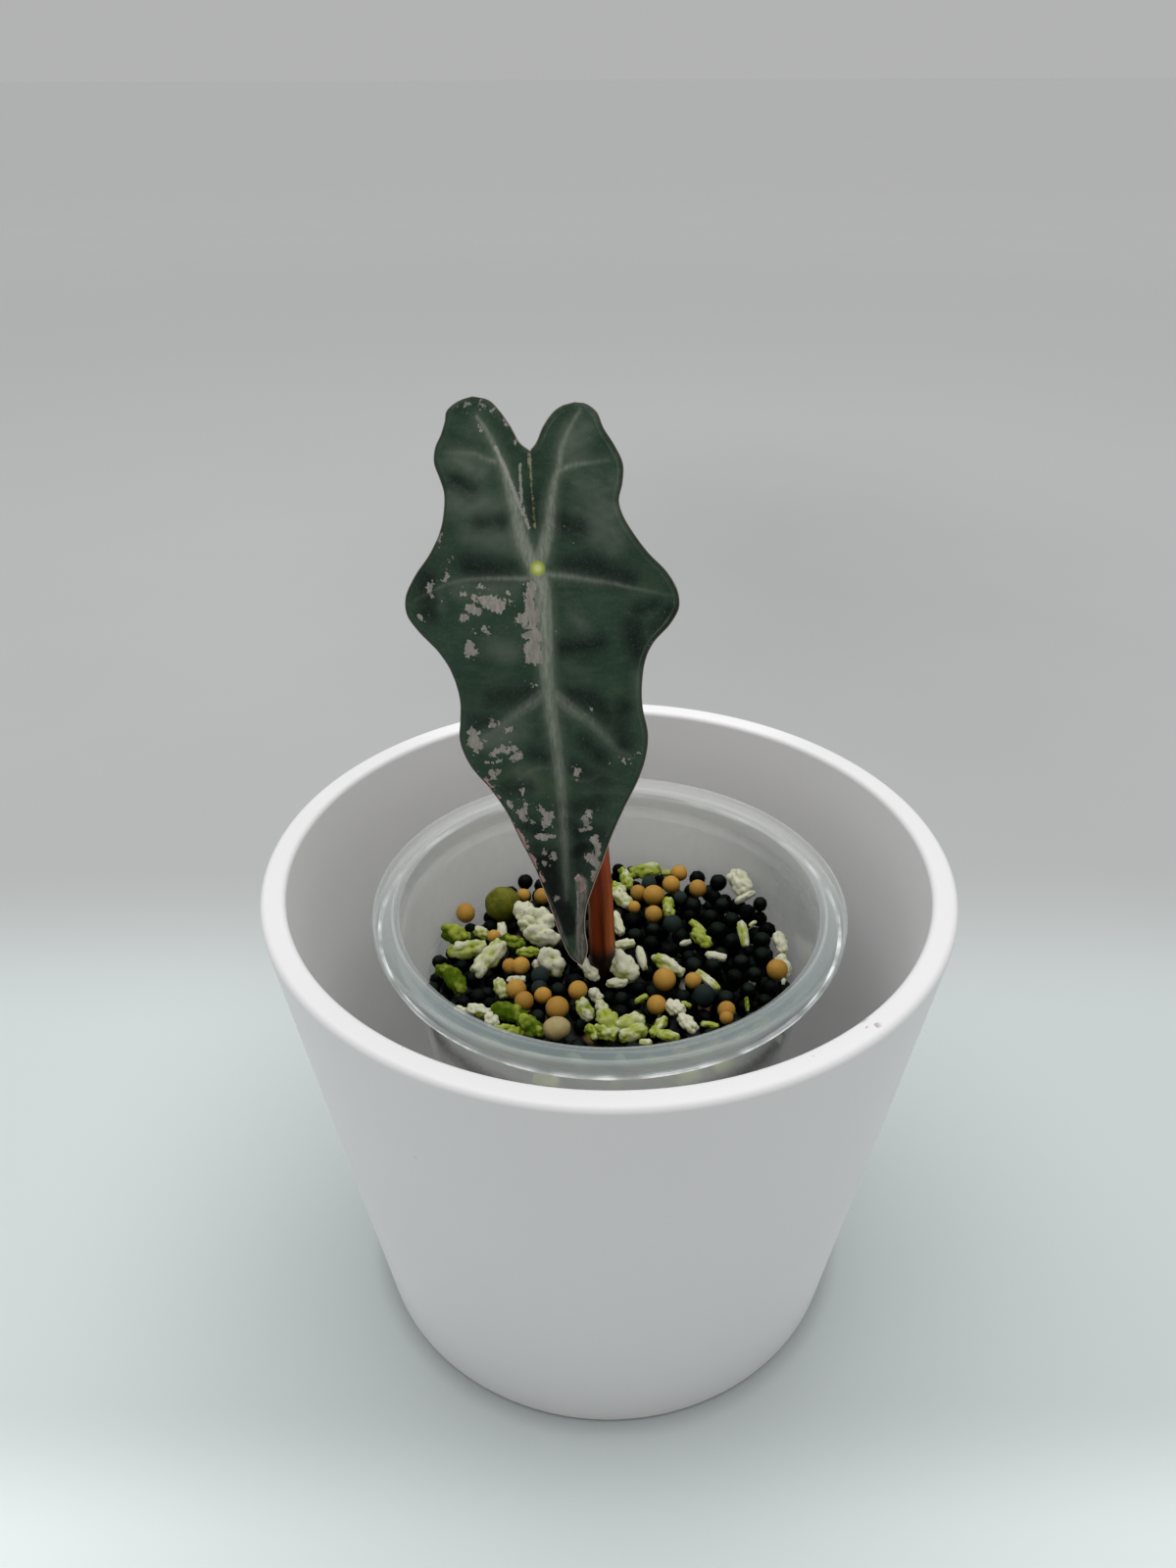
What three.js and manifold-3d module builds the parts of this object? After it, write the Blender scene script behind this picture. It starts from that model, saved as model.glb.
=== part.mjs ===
// A potted variegated alocasia nobilis: one peltate leaf on a red petiole, rooted in round mineral
// grains in a translucent nursery cup that stands inside a white cover pot.
// Millimetres, +Z up, origin at the middle of the pot's underside. The leaf's face looks along -Y.
import * as THREE from 'three';
import { mergeVertices } from 'three/addons/utils/BufferGeometryUtils.js';
import Module from 'manifold-3d';

const wasm = await Module();
wasm.setup();

// Driving dimensions
const SEAT_GAP = 0.3;
const POT = {
  height: 84.75, rimRadius: 54, innerRimRadius: 50.1, baseRadius: 42.1, floor: 4,
  footInner: 36, footRecess: 1, rimRound: 0.9, baseRound: 1.5, innerRound: 4, sides: 60,
};
const CUP = {
  x: 0.2, y: -0.7, wall: 0.6, sides: 48,
  footInner: 21.6, footOuter: 23.5, footHeight: 0.9, baseRadius: 24.4,
  coneTop: 67.3, coneTopRadius: 33.3, ledgeRadius: 34.9, ledgeHeight: 1, neckRadius: 34.2,
  lipRadius: 33.7, lipDrop: 1.2, ridgeRadius: 34.7, ridgeDrop: 0.3, channelRadius: 35.2, channelDrop: 0.7,
  flangeRadius: 38, flangeHeight: 73.5, beadWidth: 0.6,
  skirtWall: 0.6, skirtStep: 0.7, skirtStepDrop: 2.6, skirtDepth: 4,
};
const BED = {
  bottom: 1.8, height: 56.7, grainRadius: 2.15, ringStep: 4.1, rings: 7, scatter: 0.45, seed: 11,
};
const LEAF = {
  x: -9.8, y: -4, z: 134.5, lean: 13.8, roll: 5.7, thickness: 0.8,
  quilt: 1.1, veinReach: 3, droop: 0.01, earArch: 0.005, tipArch: 0.0007, rowStep: 2.1,
};
const PETIOLE = { baseRadius: 2.25, topRadius: 1.15, sides: 10, steps: 18 };
const CORM = {
  radius: 5, height: 12, top: 7, roots: 6, rootRadius: 1.1, rootTipRadius: 0.7, rootReach: 14,
};

const CUP_FLOOR = POT.floor + SEAT_GAP;
const BED_TOP = CUP_FLOOR + BED.height;

// Loose grains that lie on the bed: x, y and radius, on the bed's own axes
const LEFT_HEAP = [
  [-12.5, 14.2, 3], [-12.2, 10.8, 2.8], [-12, 7.6, 2.6], [-10.4, 4.2, 2.5], [-10, 0.8, 2.6],
  [-13.6, 3.8, 2.5], [-17, 4.2, 2.6], [-19.8, 1.4, 2.9], [-20.6, 5.2, 2.7], [-24.2, 5.2, 2.8],
  [-22.4, 8.6, 2.3],
];
const FRONT_HEAP = [
  [-3, -8.6, 2.2], [-2.8, -11.4, 2.5], [0, -13.4, 3.1], [3.4, -12.6, 2.6], [6.2, -13.4, 2.5],
  [9, -13.4, 2.7], [12, -12, 2.8],
];
const BACK_PRILLS = [[5.8, 20.4, 1.85], [8.7, 19.6, 1.95], [5.5, 17.3, 1.8], [8.3, 16.2, 1.8]];
const FRONT_PRILLS = [[-15.2, -5.8, 1.85], [-13.8, -8.8, 1.85], [-10.8, -7.4, 1.8], [-8.4, -9.8, 1.95]];
const CLAY_BALL = [-18.8, 17.6, 3.2];
const SINGLE_PRILLS = [[-24.6, 14.4], [13.2, 24.8], [16.8, 22], [28, -1.2], [9.2, -3.5], [7.6, -7.6]];

// The blade's outline, across and along from the junction with the petiole; the tip is at the bottom
const NOTCH = [0.8, 15.2];
const TIP = [-0.2, -60.3];
const LEFT_EAR_TOP = [-6, 22.7];
const RIGHT_EAR_TOP = [7.2, 20.6];
const LEFT_EAR_INSIDE = [[-0.4, 16.3], [-1.4, 18.5], [-2.6, 20.5], [-3.9, 22]];
const RIGHT_EAR_INSIDE = [[1.7, 16.1], [2.8, 18], [4.4, 19.7], [5.8, 20.4]];
const LEFT_SIDE = [
  [-7.9, 22.3], [-9.6, 21.2], [-10, 19.9], [-10.7, 18.4], [-11.7, 16.8], [-12.1, 14.9], [-11.6, 12.9],
  [-11.2, 11], [-11.5, 8.8], [-12.3, 6.3], [-14.2, 3.3], [-16.9, 0.3], [-18.7, -2.6], [-18.8, -4.9],
  [-17.3, -7.4], [-15, -10.2], [-13.6, -13], [-12.9, -17], [-13.3, -20.2], [-13.8, -23.2],
  [-12.9, -26.6], [-10.4, -30.4], [-8.4, -34.2], [-7.1, -38.2], [-5.8, -42], [-4.8, -45.6],
  [-3.7, -50.4], [-2.4, -55.4], [-1.2, -59],
];
const RIGHT_SIDE = [
  [8.6, 20.3], [10, 19.1], [10.7, 17], [11.9, 14.7], [12.8, 12.2], [12.5, 9.8], [11.8, 7.6], [12.1, 5.8],
  [13.2, 3.4], [15.1, 0.3], [17.4, -2.6], [18.7, -5.4], [18.7, -7.8], [17.2, -9.9], [14.7, -12],
  [13.4, -14.2], [12.6, -17.6], [12.4, -20.8], [12.8, -24.8], [12.2, -28.2], [10.7, -31.6],
  [8.6, -35], [6.4, -39], [4.4, -43.4], [2.5, -47.5], [1.2, -50.6], [0.7, -53.8], [0.6, -57.6],
];
const MIDRIB = [
  [0, 0], [0.8, -3], [0.4, -9], [0, -17], [0, -33], [-0.8, -42], [-1.4, -48], [-0.9, -54], TIP,
];
const EAR_SEAM = [NOTCH, [0.3, 8], [0, 0]];
const VEINS = [
  MIDRIB,
  [[0, 0], [-2, 6.7], [-3, 11.5], [-3.9, 15.8], [-5.2, 21]],
  [[0, 0], [1.6, 3.4], [3.4, 9.3], [4.7, 13.2], [6.9, 19]],
  [[-3.7, 14.5], [-7.4, 15.7], [-11.6, 15.4]],
  [[4.4, 12], [7.9, 12.6], [12.6, 12.6]],
  [[0, -0.8], [-9.6, -0.4], [-18, -3]],
  [[0.4, -0.8], [8, -2.4], [18.4, -6]],
  [[0, -18], [-5.9, -19.7], [-13, -24]],
  [[0, -18], [5.9, -22.6], [12.6, -27]],
  [[0, -33], [-4.2, -35], [-7.4, -37.5]],
  [[0, -33], [3.6, -37], [5.6, -41]],
];

// The petiole's line, from the corm up behind the blade and over to its back, where the junction is
const PETIOLE_LINE = [
  [-0.9, 0.6, 48], [-0.9, 0.5, 58], [-0.9, 0.5, 66], [-1.3, 0.9, 78], [-2.5, 1.7, 94],
  [-4.8, 2.2, 110], [-7.4, 1.9, 123], [-9.1, 0.5, 130.5], [-9.8, -1.5, 133.9], [-9.9, -4, 135],
];

const COLOURS = {
  pot: 0xf1f1f1, cup: 0xdfe3e3, grain: 0x1c2024, perlite: 0xdfe2cf, algae: 0xb9c88a,
  prill: 0xb98a4a, clay: 0x77803a, leaf: 0x25352c, petiole: 0x73301f, corm: 0x8a6a48,
};

// Plain helpers
function seededRandom(seed) {
  let state = seed;
  return () => {
    state = (state * 1664525 + 1013904223) % 4294967296;
    return state / 4294967296;
  };
}

function positionsOnly(geometry) {
  const bare = geometry.clone();
  bare.deleteAttribute('normal');
  bare.deleteAttribute('uv');
  return mergeVertices(bare, 1e-4);
}

function toSolid(geometry) {
  const bare = positionsOnly(geometry);
  const vertProperties = new Float32Array(bare.attributes.position.array);
  const triVerts = new Uint32Array(bare.index.array);
  return new wasm.Manifold(new wasm.Mesh({ numProp: 3, vertProperties, triVerts }));
}

function toGeometry(solid) {
  const mesh = solid.getMesh();
  const geometry = new THREE.BufferGeometry();
  geometry.setAttribute('position', new THREE.BufferAttribute(new Float32Array(mesh.vertProperties), 3));
  geometry.setIndex(new THREE.BufferAttribute(new Uint32Array(mesh.triVerts), 1));
  return geometry;
}

function largestBody(solid) {
  const bodies = solid.decompose();
  return bodies.reduce((best, body) => (body.volume() > best.volume() ? body : best));
}

function finish(name, geometry, colour, roughness) {
  const material = new THREE.MeshStandardMaterial({ color: colour, roughness, metalness: 0 });
  const mesh = new THREE.Mesh(geometry, material);
  mesh.name = name;
  return mesh;
}

// A quarter round of a turned profile, from one angle to another in degrees
function roundPoints(r, z, radius, from, to, steps) {
  return Array.from({ length: steps + 1 }, (_, i) => {
    const angle = THREE.MathUtils.degToRad(from + (to - from) * i / steps);
    return [r + radius * Math.cos(angle), z + radius * Math.sin(angle)];
  });
}

function turned(profile, sides) {
  const points = profile.map(([r, z]) => new THREE.Vector2(r, z));
  return positionsOnly(new THREE.LatheGeometry(points, sides)).rotateX(Math.PI / 2);
}

// A round bar that narrows from one end to the other and follows a line
function taperedBar(line, startRadius, endRadius, sides, steps) {
  const path = new THREE.CatmullRomCurve3(line.map((point) => new THREE.Vector3(...point)));
  const frames = path.computeFrenetFrames(steps);
  const bar = positionsOnly(new THREE.CylinderGeometry(endRadius, startRadius, 1, sides, steps));
  const position = bar.attributes.position;
  const centre = new THREE.Vector3();
  for (let i = 0; i < position.count; i += 1) {
    const along = position.getY(i) + 0.5;
    const ring = Math.round(along * steps);
    path.getPointAt(along, centre);
    centre.addScaledVector(frames.binormals[ring], position.getX(i));
    centre.addScaledVector(frames.normals[ring], position.getZ(i));
    position.setXYZ(i, centre.x, centre.y, centre.z);
  }
  return bar;
}

// Cover pot: straight taper, flat rim with eased edges, a foot ring round a shallow recess
function coverPot() {
  const wallTaper = (POT.rimRadius - POT.baseRadius) / POT.height;
  const innerBase = POT.innerRimRadius - wallTaper * (POT.height - POT.floor - POT.innerRound);
  const profile = [
    [0, POT.footRecess],
    [POT.footInner - 1, POT.footRecess],
    [POT.footInner, 0],
    ...roundPoints(POT.baseRadius - POT.baseRound, POT.baseRound, POT.baseRound, -90, 0, 2),
    ...roundPoints(POT.rimRadius - POT.rimRound, POT.height - POT.rimRound, POT.rimRound, 0, 90, 2),
    ...roundPoints(POT.innerRimRadius + POT.rimRound, POT.height - POT.rimRound, POT.rimRound, 90, 180, 2),
    ...roundPoints(innerBase - POT.innerRound, POT.floor + POT.innerRound, POT.innerRound, 0, -90, 2),
    [0, POT.floor],
  ];
  return turned(profile, POT.sides);
}

// Nursery cup: a thin cone with a raised base, a stacking ledge and a channelled flange, whose skirt
// steps in once on its way down
function cupRadius(height) {
  const rise = (height - CUP.footHeight) / (CUP.coneTop - CUP.footHeight);
  return CUP.baseRadius + (CUP.coneTopRadius - CUP.baseRadius) * rise;
}

function nurseryCup() {
  const top = CUP.flangeHeight;
  const underFlange = top - CUP.channelDrop - CUP.wall;
  const ledgeBottom = CUP.coneTop + CUP.wall;
  const ledgeTop = ledgeBottom + CUP.ledgeHeight;
  const skirtFoot = CUP.flangeRadius - CUP.skirtStep;
  const outside = [
    [0, CUP.footHeight],
    [CUP.footInner - CUP.footHeight, CUP.footHeight],
    [CUP.footInner, 0],
    [CUP.footOuter, 0],
    [CUP.baseRadius, CUP.footHeight],
    [CUP.coneTopRadius, CUP.coneTop],
    [CUP.ledgeRadius, ledgeBottom],
    [CUP.ledgeRadius, ledgeTop],
    [CUP.neckRadius, ledgeTop + CUP.wall],
    [CUP.neckRadius, underFlange],
    [skirtFoot - CUP.skirtWall, underFlange],
    [skirtFoot - CUP.skirtWall, top - CUP.skirtDepth],
    [skirtFoot, top - CUP.skirtDepth],
    [skirtFoot, top - CUP.skirtStepDrop],
    [CUP.flangeRadius, top - CUP.skirtStepDrop],
    [CUP.flangeRadius, top - CUP.beadWidth],
    [CUP.flangeRadius - CUP.beadWidth, top],
  ];
  const inside = [
    [CUP.flangeRadius - 2 * CUP.beadWidth, top - CUP.channelDrop],
    [CUP.channelRadius, top - CUP.channelDrop],
    [CUP.ridgeRadius, top - CUP.ridgeDrop],
    [CUP.lipRadius, top - CUP.lipDrop],
    [CUP.neckRadius - CUP.wall, ledgeTop + CUP.wall],
    [CUP.coneTopRadius - CUP.wall, CUP.coneTop],
    [CUP.baseRadius - CUP.wall, CUP.footHeight + CUP.wall],
    [0, CUP.footHeight + CUP.wall],
  ];
  return turned([...outside, ...inside], CUP.sides);
}

// One grain: a ball of few sides, turned and squashed a little by the random draw
function grain([x, y, radius], random, detail, lift = 0.35, swell = 0) {
  const size = () => radius * (0.92 + 0.16 * random()) + swell;
  const ball = new THREE.IcosahedronGeometry(1, detail);
  ball.rotateX(random() * Math.PI).rotateZ(random() * Math.PI);
  ball.scale(size(), size(), size());
  ball.translate(x, y, BED_TOP + lift * radius);
  return toSolid(ball);
}

function heap(lumps, seed, detail, swell = 0) {
  const random = seededRandom(seed);
  return wasm.Manifold.union(lumps.map((lump) => grain(lump, random, detail, 0.35, swell)));
}

const HEAPS = {
  leftPerlite: { lumps: LEFT_HEAP, seed: 21, detail: 0 },
  frontPerlite: { lumps: FRONT_HEAP, seed: 22, detail: 0 },
  backPrills: { lumps: BACK_PRILLS, seed: 23, detail: 1 },
  frontPrills: { lumps: FRONT_PRILLS, seed: 24, detail: 1 },
  clayBall: { lumps: [CLAY_BALL], seed: 25, detail: 1 },
};

// Corm and roots, buried under the petiole
function cormSolid(swell) {
  const top = BED_TOP - CORM.top;
  const centreHeight = top - CORM.height / 2;
  const [stemX, stemY] = PETIOLE_LINE[0];
  const body = new THREE.SphereGeometry(1, 10, 6).rotateX(Math.PI / 2);
  body.scale(CORM.radius + swell, CORM.radius + swell, CORM.height / 2 + swell);
  body.translate(stemX, stemY, centreHeight);
  const parts = [toSolid(body)];
  for (let i = 0; i < CORM.roots; i += 1) {
    const angle = (i + 0.25) * 2 * Math.PI / CORM.roots;
    const reach = CORM.rootReach * (0.8 + 0.2 * Math.sin(3 * i));
    const at = (out, drop) => [
      stemX + out * Math.cos(angle + out * 0.02),
      stemY + out * Math.sin(angle + out * 0.02),
      centreHeight - drop,
    ];
    const line = [at(1, 1), at(reach * 0.5, 5), at(reach * 0.85, 14), at(reach, 22 + swell)];
    parts.push(toSolid(taperedBar(line, CORM.rootRadius + swell, CORM.rootTipRadius + swell, 5, 5)));
  }
  return wasm.Manifold.union(parts);
}

function petioleSolid(swell) {
  const { baseRadius, topRadius, sides, steps } = PETIOLE;
  return toSolid(taperedBar(PETIOLE_LINE, baseRadius + swell, topRadius + swell, sides, steps));
}

// Substrate: a plug of the cup's inside, covered with round grains and hollowed where others lie in it
function substrateBed() {
  const random = seededRandom(BED.seed);
  const radiusAt = (height) => cupRadius(height) - CUP.wall - SEAT_GAP;
  const plug = turned([
    [0, CUP_FLOOR + BED.bottom],
    [radiusAt(BED.bottom), CUP_FLOOR + BED.bottom],
    [radiusAt(BED.height), BED_TOP],
    [0, BED_TOP],
  ], CUP.sides);
  const lying = Object.values(HEAPS).flatMap(({ lumps }) => lumps);
  const stem = [PETIOLE_LINE[1][0] - CUP.x, PETIOLE_LINE[1][1] - CUP.y, PETIOLE.baseRadius + 0.6];
  const placed = SINGLE_PRILLS.map(([x, y]) => [x, y, 1.9]);
  for (let ring = 0; ring <= BED.rings; ring += 1) {
    const count = Math.max(1, Math.floor(2 * Math.PI * ring));
    const start = random();
    for (let i = 0; i < count; i += 1) {
      const out = BED.ringStep * ring - BED.scatter * random();
      const turn = 2 * Math.PI * (i + start + 0.2 * random()) / count;
      const spot = [out * Math.cos(turn), out * Math.sin(turn), BED.grainRadius * (0.9 + 0.15 * random())];
      const apart = (other, room) => Math.hypot(spot[0] - other[0], spot[1] - other[1]) > room;
      const free = placed.slice(0, SINGLE_PRILLS.length).every((other) => apart(other, 3))
        && lying.every((other) => apart(other, other[2] + spot[2] * 0.7))
        && apart(stem, stem[2] + spot[2] * 0.8);
      if (free) placed.push(spot);
    }
  }
  const grains = placed.map((spot) => grain(spot, random, 0, 0.1 + 0.25 * random()));
  const pocketSwell = SEAT_GAP * 1.5;
  const pockets = Object.values(HEAPS).map(
    ({ lumps, seed, detail }) => heap(lumps, seed, detail, pocketSwell),
  );
  const plantHollow = cormSolid(SEAT_GAP).add(petioleSolid(SEAT_GAP)).translate([-CUP.x, -CUP.y, 0]);
  const hollows = wasm.Manifold.union([...pockets, plantHollow]);
  return largestBody(wasm.Manifold.union([toSolid(plug), ...grains]).subtract(hollows));
}

// Leaf blade, in its own plane: x across, y towards the two ears, z out of the face
function distanceToLine(x, y, line) {
  let nearest = Infinity;
  for (let i = 1; i < line.length; i += 1) {
    const [ax, ay] = line[i - 1];
    const [bx, by] = line[i];
    const dx = bx - ax;
    const dy = by - ay;
    const along = THREE.MathUtils.clamp(((x - ax) * dx + (y - ay) * dy) / (dx * dx + dy * dy), 0, 1);
    nearest = Math.min(nearest, Math.hypot(x - ax - dx * along, y - ay - dy * along));
  }
  return nearest;
}

function bladeHeight(x, y) {
  const nearest = Math.min(...VEINS.map((line) => distanceToLine(x, y, line)));
  const swelling = LEAF.quilt * (1 - Math.exp(-((nearest / LEAF.veinReach) ** 2)));
  const arch = (y > 0 ? LEAF.earArch : LEAF.tipArch) * y * y;
  return swelling - arch - LEAF.droop * x * x;
}

// Where a line of points crosses a height y, on a smooth curve through the points
function crossingTable(points) {
  const line = points.map(([x, y]) => new THREE.Vector3(x, y, 0));
  const curve = new THREE.CatmullRomCurve3(line, false, 'centripetal');
  const samples = curve.getPoints(points.length * 8).sort((a, b) => b.y - a.y);
  return (y) => {
    const below = samples.findIndex((sample) => sample.y <= y);
    if (below <= 0) return samples[below === 0 ? 0 : samples.length - 1].x;
    const [a, b] = [samples[below - 1], samples[below]];
    return a.x + (b.x - a.x) * (a.y - y) / Math.max(a.y - b.y, 1e-9);
  };
}

function halfBlade(outerPoints, innerPoints, columns, rows) {
  const outer = crossingTable(outerPoints);
  const inner = crossingTable(innerPoints);
  return rows.map((y) => columns.map((share) => {
    const x = inner(y) + (outer(y) - inner(y)) * share;
    return new THREE.Vector3(x, y, bladeHeight(x, y));
  }));
}

function gridTriangles(grid, flip) {
  const triangles = [];
  const push = (a, b, c) => triangles.push(flip ? [a, c, b] : [a, b, c]);
  for (let row = 1; row < grid.length; row += 1) {
    for (let column = 1; column < grid[row].length; column += 1) {
      const [a, b] = [grid[row - 1][column - 1], grid[row - 1][column]];
      const [c, d] = [grid[row][column - 1], grid[row][column]];
      push(a, c, d);
      push(a, d, b);
    }
  }
  return triangles;
}

// Gives a sheet of triangles its thickness: the same triangles below, and a wall along each open edge
function thickened(triangles, thickness) {
  const key = (p) => `${p.x.toFixed(3)},${p.y.toFixed(3)}`;
  const whole = triangles.filter(([a, b, c]) => new Set([key(a), key(b), key(c)]).size === 3);
  const edges = new Map();
  whole.forEach((triangle) => triangle.forEach((point, i) => {
    const next = triangle[(i + 1) % 3];
    edges.set(`${key(point)} ${key(next)}`, [point, next]);
  }));
  const below = (p) => new THREE.Vector3(p.x, p.y, p.z - thickness);
  const faces = whole.flatMap(([a, b, c]) => [[a, b, c], [below(c), below(b), below(a)]]);
  edges.forEach(([from, to]) => {
    if (edges.has(`${key(to)} ${key(from)}`)) return;
    faces.push([to, from, below(from)], [to, below(from), below(to)]);
  });
  return positionsOnly(new THREE.BufferGeometry().setFromPoints(faces.flat()));
}

function leafBlade() {
  const columns = [0, 0.14, 0.3, 0.5, 0.7, 0.87, 1];
  const rowsBetween = (from, to) => {
    const count = Math.max(2, Math.round((from - to) / LEAF.rowStep));
    return Array.from({ length: count + 1 }, (_, i) => from + (to - from) * i / count);
  };
  const lower = rowsBetween(NOTCH[1], TIP[1]);
  const spine = [...EAR_SEAM, ...MIDRIB.slice(1)];
  const half = (earTop, earInside, side, flip) => {
    const upper = rowsBetween(earTop[1], NOTCH[1]);
    const inner = [earTop, ...[...earInside].reverse(), NOTCH];
    const outer = [earTop, ...side, TIP];
    return [
      ...gridTriangles(halfBlade(outer, inner, columns, upper), flip),
      ...gridTriangles(halfBlade(outer, spine, columns, lower), flip),
    ];
  };
  return thickened([
    ...half(LEFT_EAR_TOP, LEFT_EAR_INSIDE, LEFT_SIDE, true),
    ...half(RIGHT_EAR_TOP, RIGHT_EAR_INSIDE, RIGHT_SIDE, false),
  ], LEAF.thickness);
}

function placeLikeBlade(object) {
  object.position.set(LEAF.x, LEAF.y, LEAF.z);
  object.rotation.set(THREE.MathUtils.degToRad(90 - LEAF.lean), 0, THREE.MathUtils.degToRad(LEAF.roll));
  object.updateMatrix();
  return object;
}

// The petiole stops just behind the blade, on a face that lies along it, and just above the corm
function petiole() {
  const block = 12;
  const blade = new THREE.BoxGeometry(block, block, block);
  blade.translate(0, 0, block / 2 - LEAF.thickness - SEAT_GAP);
  blade.applyMatrix4(placeLikeBlade(new THREE.Object3D()).matrix);
  const [stemX, stemY] = PETIOLE_LINE[0];
  const cormTop = BED_TOP - CORM.top + SEAT_GAP;
  const corm = new THREE.BoxGeometry(block, block, block).translate(stemX, stemY, cormTop - block / 2);
  return toGeometry(largestBody(petioleSolid(0).subtract(toSolid(blade)).subtract(toSolid(corm))));
}

const plant = new THREE.Group();
plant.add(placeLikeBlade(finish('leaf_blade', leafBlade(), COLOURS.leaf, 0.4)));
plant.add(finish('petiole', petiole(), COLOURS.petiole, 0.35));
plant.add(finish('corm_and_roots', toGeometry(cormSolid(0)), COLOURS.corm, 0.8));

const filling = new THREE.Group();
filling.position.set(CUP.x, CUP.y, 0);
const cup = finish('nursery_cup', nurseryCup(), COLOURS.cup, 0.3);
cup.position.z = CUP_FLOOR;
filling.add(cup);
filling.add(finish('substrate_bed', toGeometry(substrateBed()), COLOURS.grain, 0.6));
const looseGrains = [
  ['perlite_heap_left', 'leftPerlite', COLOURS.perlite, 0.9],
  ['perlite_heap_front', 'frontPerlite', COLOURS.algae, 0.9],
  ['prill_heap_back', 'backPrills', COLOURS.prill, 0.5],
  ['prill_heap_front', 'frontPrills', COLOURS.prill, 0.5],
  ['clay_ball', 'clayBall', COLOURS.clay, 0.8],
];
looseGrains.forEach(([name, which, colour, roughness]) => {
  const { lumps, seed, detail } = HEAPS[which];
  filling.add(finish(name, toGeometry(heap(lumps, seed, detail)), colour, roughness));
});

const part = new THREE.Group();
part.add(finish('cover_pot', coverPot(), COLOURS.pot, 0.55));
part.add(filling);
part.add(plant);

export default part;
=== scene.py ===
import math

import bmesh
import bpy
import numpy as np
from mathutils import Euler, Matrix, Vector, noise


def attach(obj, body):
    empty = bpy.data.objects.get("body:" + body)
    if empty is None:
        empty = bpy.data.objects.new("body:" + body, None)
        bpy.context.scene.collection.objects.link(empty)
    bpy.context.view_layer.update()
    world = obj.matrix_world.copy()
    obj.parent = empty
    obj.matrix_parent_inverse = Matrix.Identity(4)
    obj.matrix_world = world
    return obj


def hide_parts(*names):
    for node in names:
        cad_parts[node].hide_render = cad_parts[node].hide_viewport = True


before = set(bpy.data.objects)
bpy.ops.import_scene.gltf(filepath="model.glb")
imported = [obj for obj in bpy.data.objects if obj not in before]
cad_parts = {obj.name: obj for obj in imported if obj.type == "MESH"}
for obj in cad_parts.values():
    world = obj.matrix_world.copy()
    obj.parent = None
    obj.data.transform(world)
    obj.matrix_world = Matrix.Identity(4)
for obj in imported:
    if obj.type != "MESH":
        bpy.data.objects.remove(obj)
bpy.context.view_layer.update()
print("frame loaded:", ", ".join(sorted(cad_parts)))

mm = 0.001


class Values(dict):
    # a dictionary whose values are read as attributes
    __getattr__ = dict.__getitem__


# Small helpers for meshes

def arc(r, z, radius, start, end, steps):
    turns = [math.radians(start + (end - start) * i / steps) for i in range(steps + 1)]
    return [(r + radius * math.cos(t), z + radius * math.sin(t)) for t in turns]


def spun(profile, segments, centre=(0, 0)):
    # profile is a closed outline's r and z in mm, from the axis round to the axis
    bm = bmesh.new()
    verts = [bm.verts.new((r * mm, 0, z * mm)) for r, z in profile]
    edges = [bm.edges.new(pair) for pair in zip(verts, verts[1:])]
    bmesh.ops.spin(bm, geom=verts + edges, cent=(0, 0, 0), axis=(0, 0, 1), dvec=(0, 0, 0),
                   angle=2 * math.pi, steps=segments, use_merge=True)
    bmesh.ops.remove_doubles(bm, verts=bm.verts, dist=0.005 * mm)
    bmesh.ops.recalc_face_normals(bm, faces=bm.faces)
    bmesh.ops.translate(bm, verts=bm.verts, vec=(centre[0] * mm, centre[1] * mm, 0))
    return bm


def easeRings(bm, width, least=18, segments=2):
    # rounds the ring edges that turn by more than the least angle
    sharp = [e for e in bm.edges if e.is_manifold and e.calc_face_angle(0) > math.radians(least)
             and abs(e.verts[0].co.z - e.verts[1].co.z) < 0.001 * mm]
    bmesh.ops.bevel(bm, geom=sharp, offset=width * mm, offset_type="OFFSET", affect="EDGES",
                    segments=segments, profile=0.5, material=-1, clamp_overlap=True)


def linked(name, data):
    thing = bpy.data.objects.new(name, data)
    bpy.context.scene.collection.objects.link(thing)
    return thing


def meshObject(name, bm, material):
    mesh = bpy.data.meshes.new(name)
    bm.to_mesh(mesh)
    bm.free()
    mesh.materials.append(material)
    return linked(name, mesh)


def finishPiece(name, bm, material, replaced=(), sharpAngle=80):
    for edge in bm.edges:
        edge.smooth = edge.calc_face_angle(0) < math.radians(sharpAngle)
    for face in bm.faces:
        face.smooth = True
    piece = meshObject(name, bm, material)
    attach(piece, "root")
    if replaced:
        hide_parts(*replaced)
    print("made", name, "with", len(piece.data.polygons), "faces")


def smoothLine(points, steps=12):
    # a centripetal curve through the points
    p = np.array(points, float)
    p = np.vstack([2 * p[0] - p[1], p, 2 * p[-1] - p[-2]])
    line = []
    for i in range(1, len(p) - 2):
        a, b, c, d = p[i - 1:i + 3]
        t0, t1, t2 = (max(np.linalg.norm(v - u) ** 0.5, 1e-6) for u, v in ((a, b), (b, c), (c, d)))
        leave = ((b - a) / t0 - (c - a) / (t0 + t1) + (c - b) / t1) * t1
        arrive = ((c - b) / t1 - (d - b) / (t1 + t2) + (d - c) / t2) * t1
        for s in np.arange(steps) / steps:
            line.append((2 * s**3 - 3 * s**2 + 1) * b + (s**3 - 2 * s**2 + s) * leave
                        + (3 * s**2 - 2 * s**3) * c + (s**3 - s**2) * arrive)
    return np.array(line + [p[-2]])


def smoothStep(low, high, value):
    t = np.clip((value - low) / (high - low), 0, 1)
    return t * t * (3 - 2 * t)


# Small helpers for materials

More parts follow.
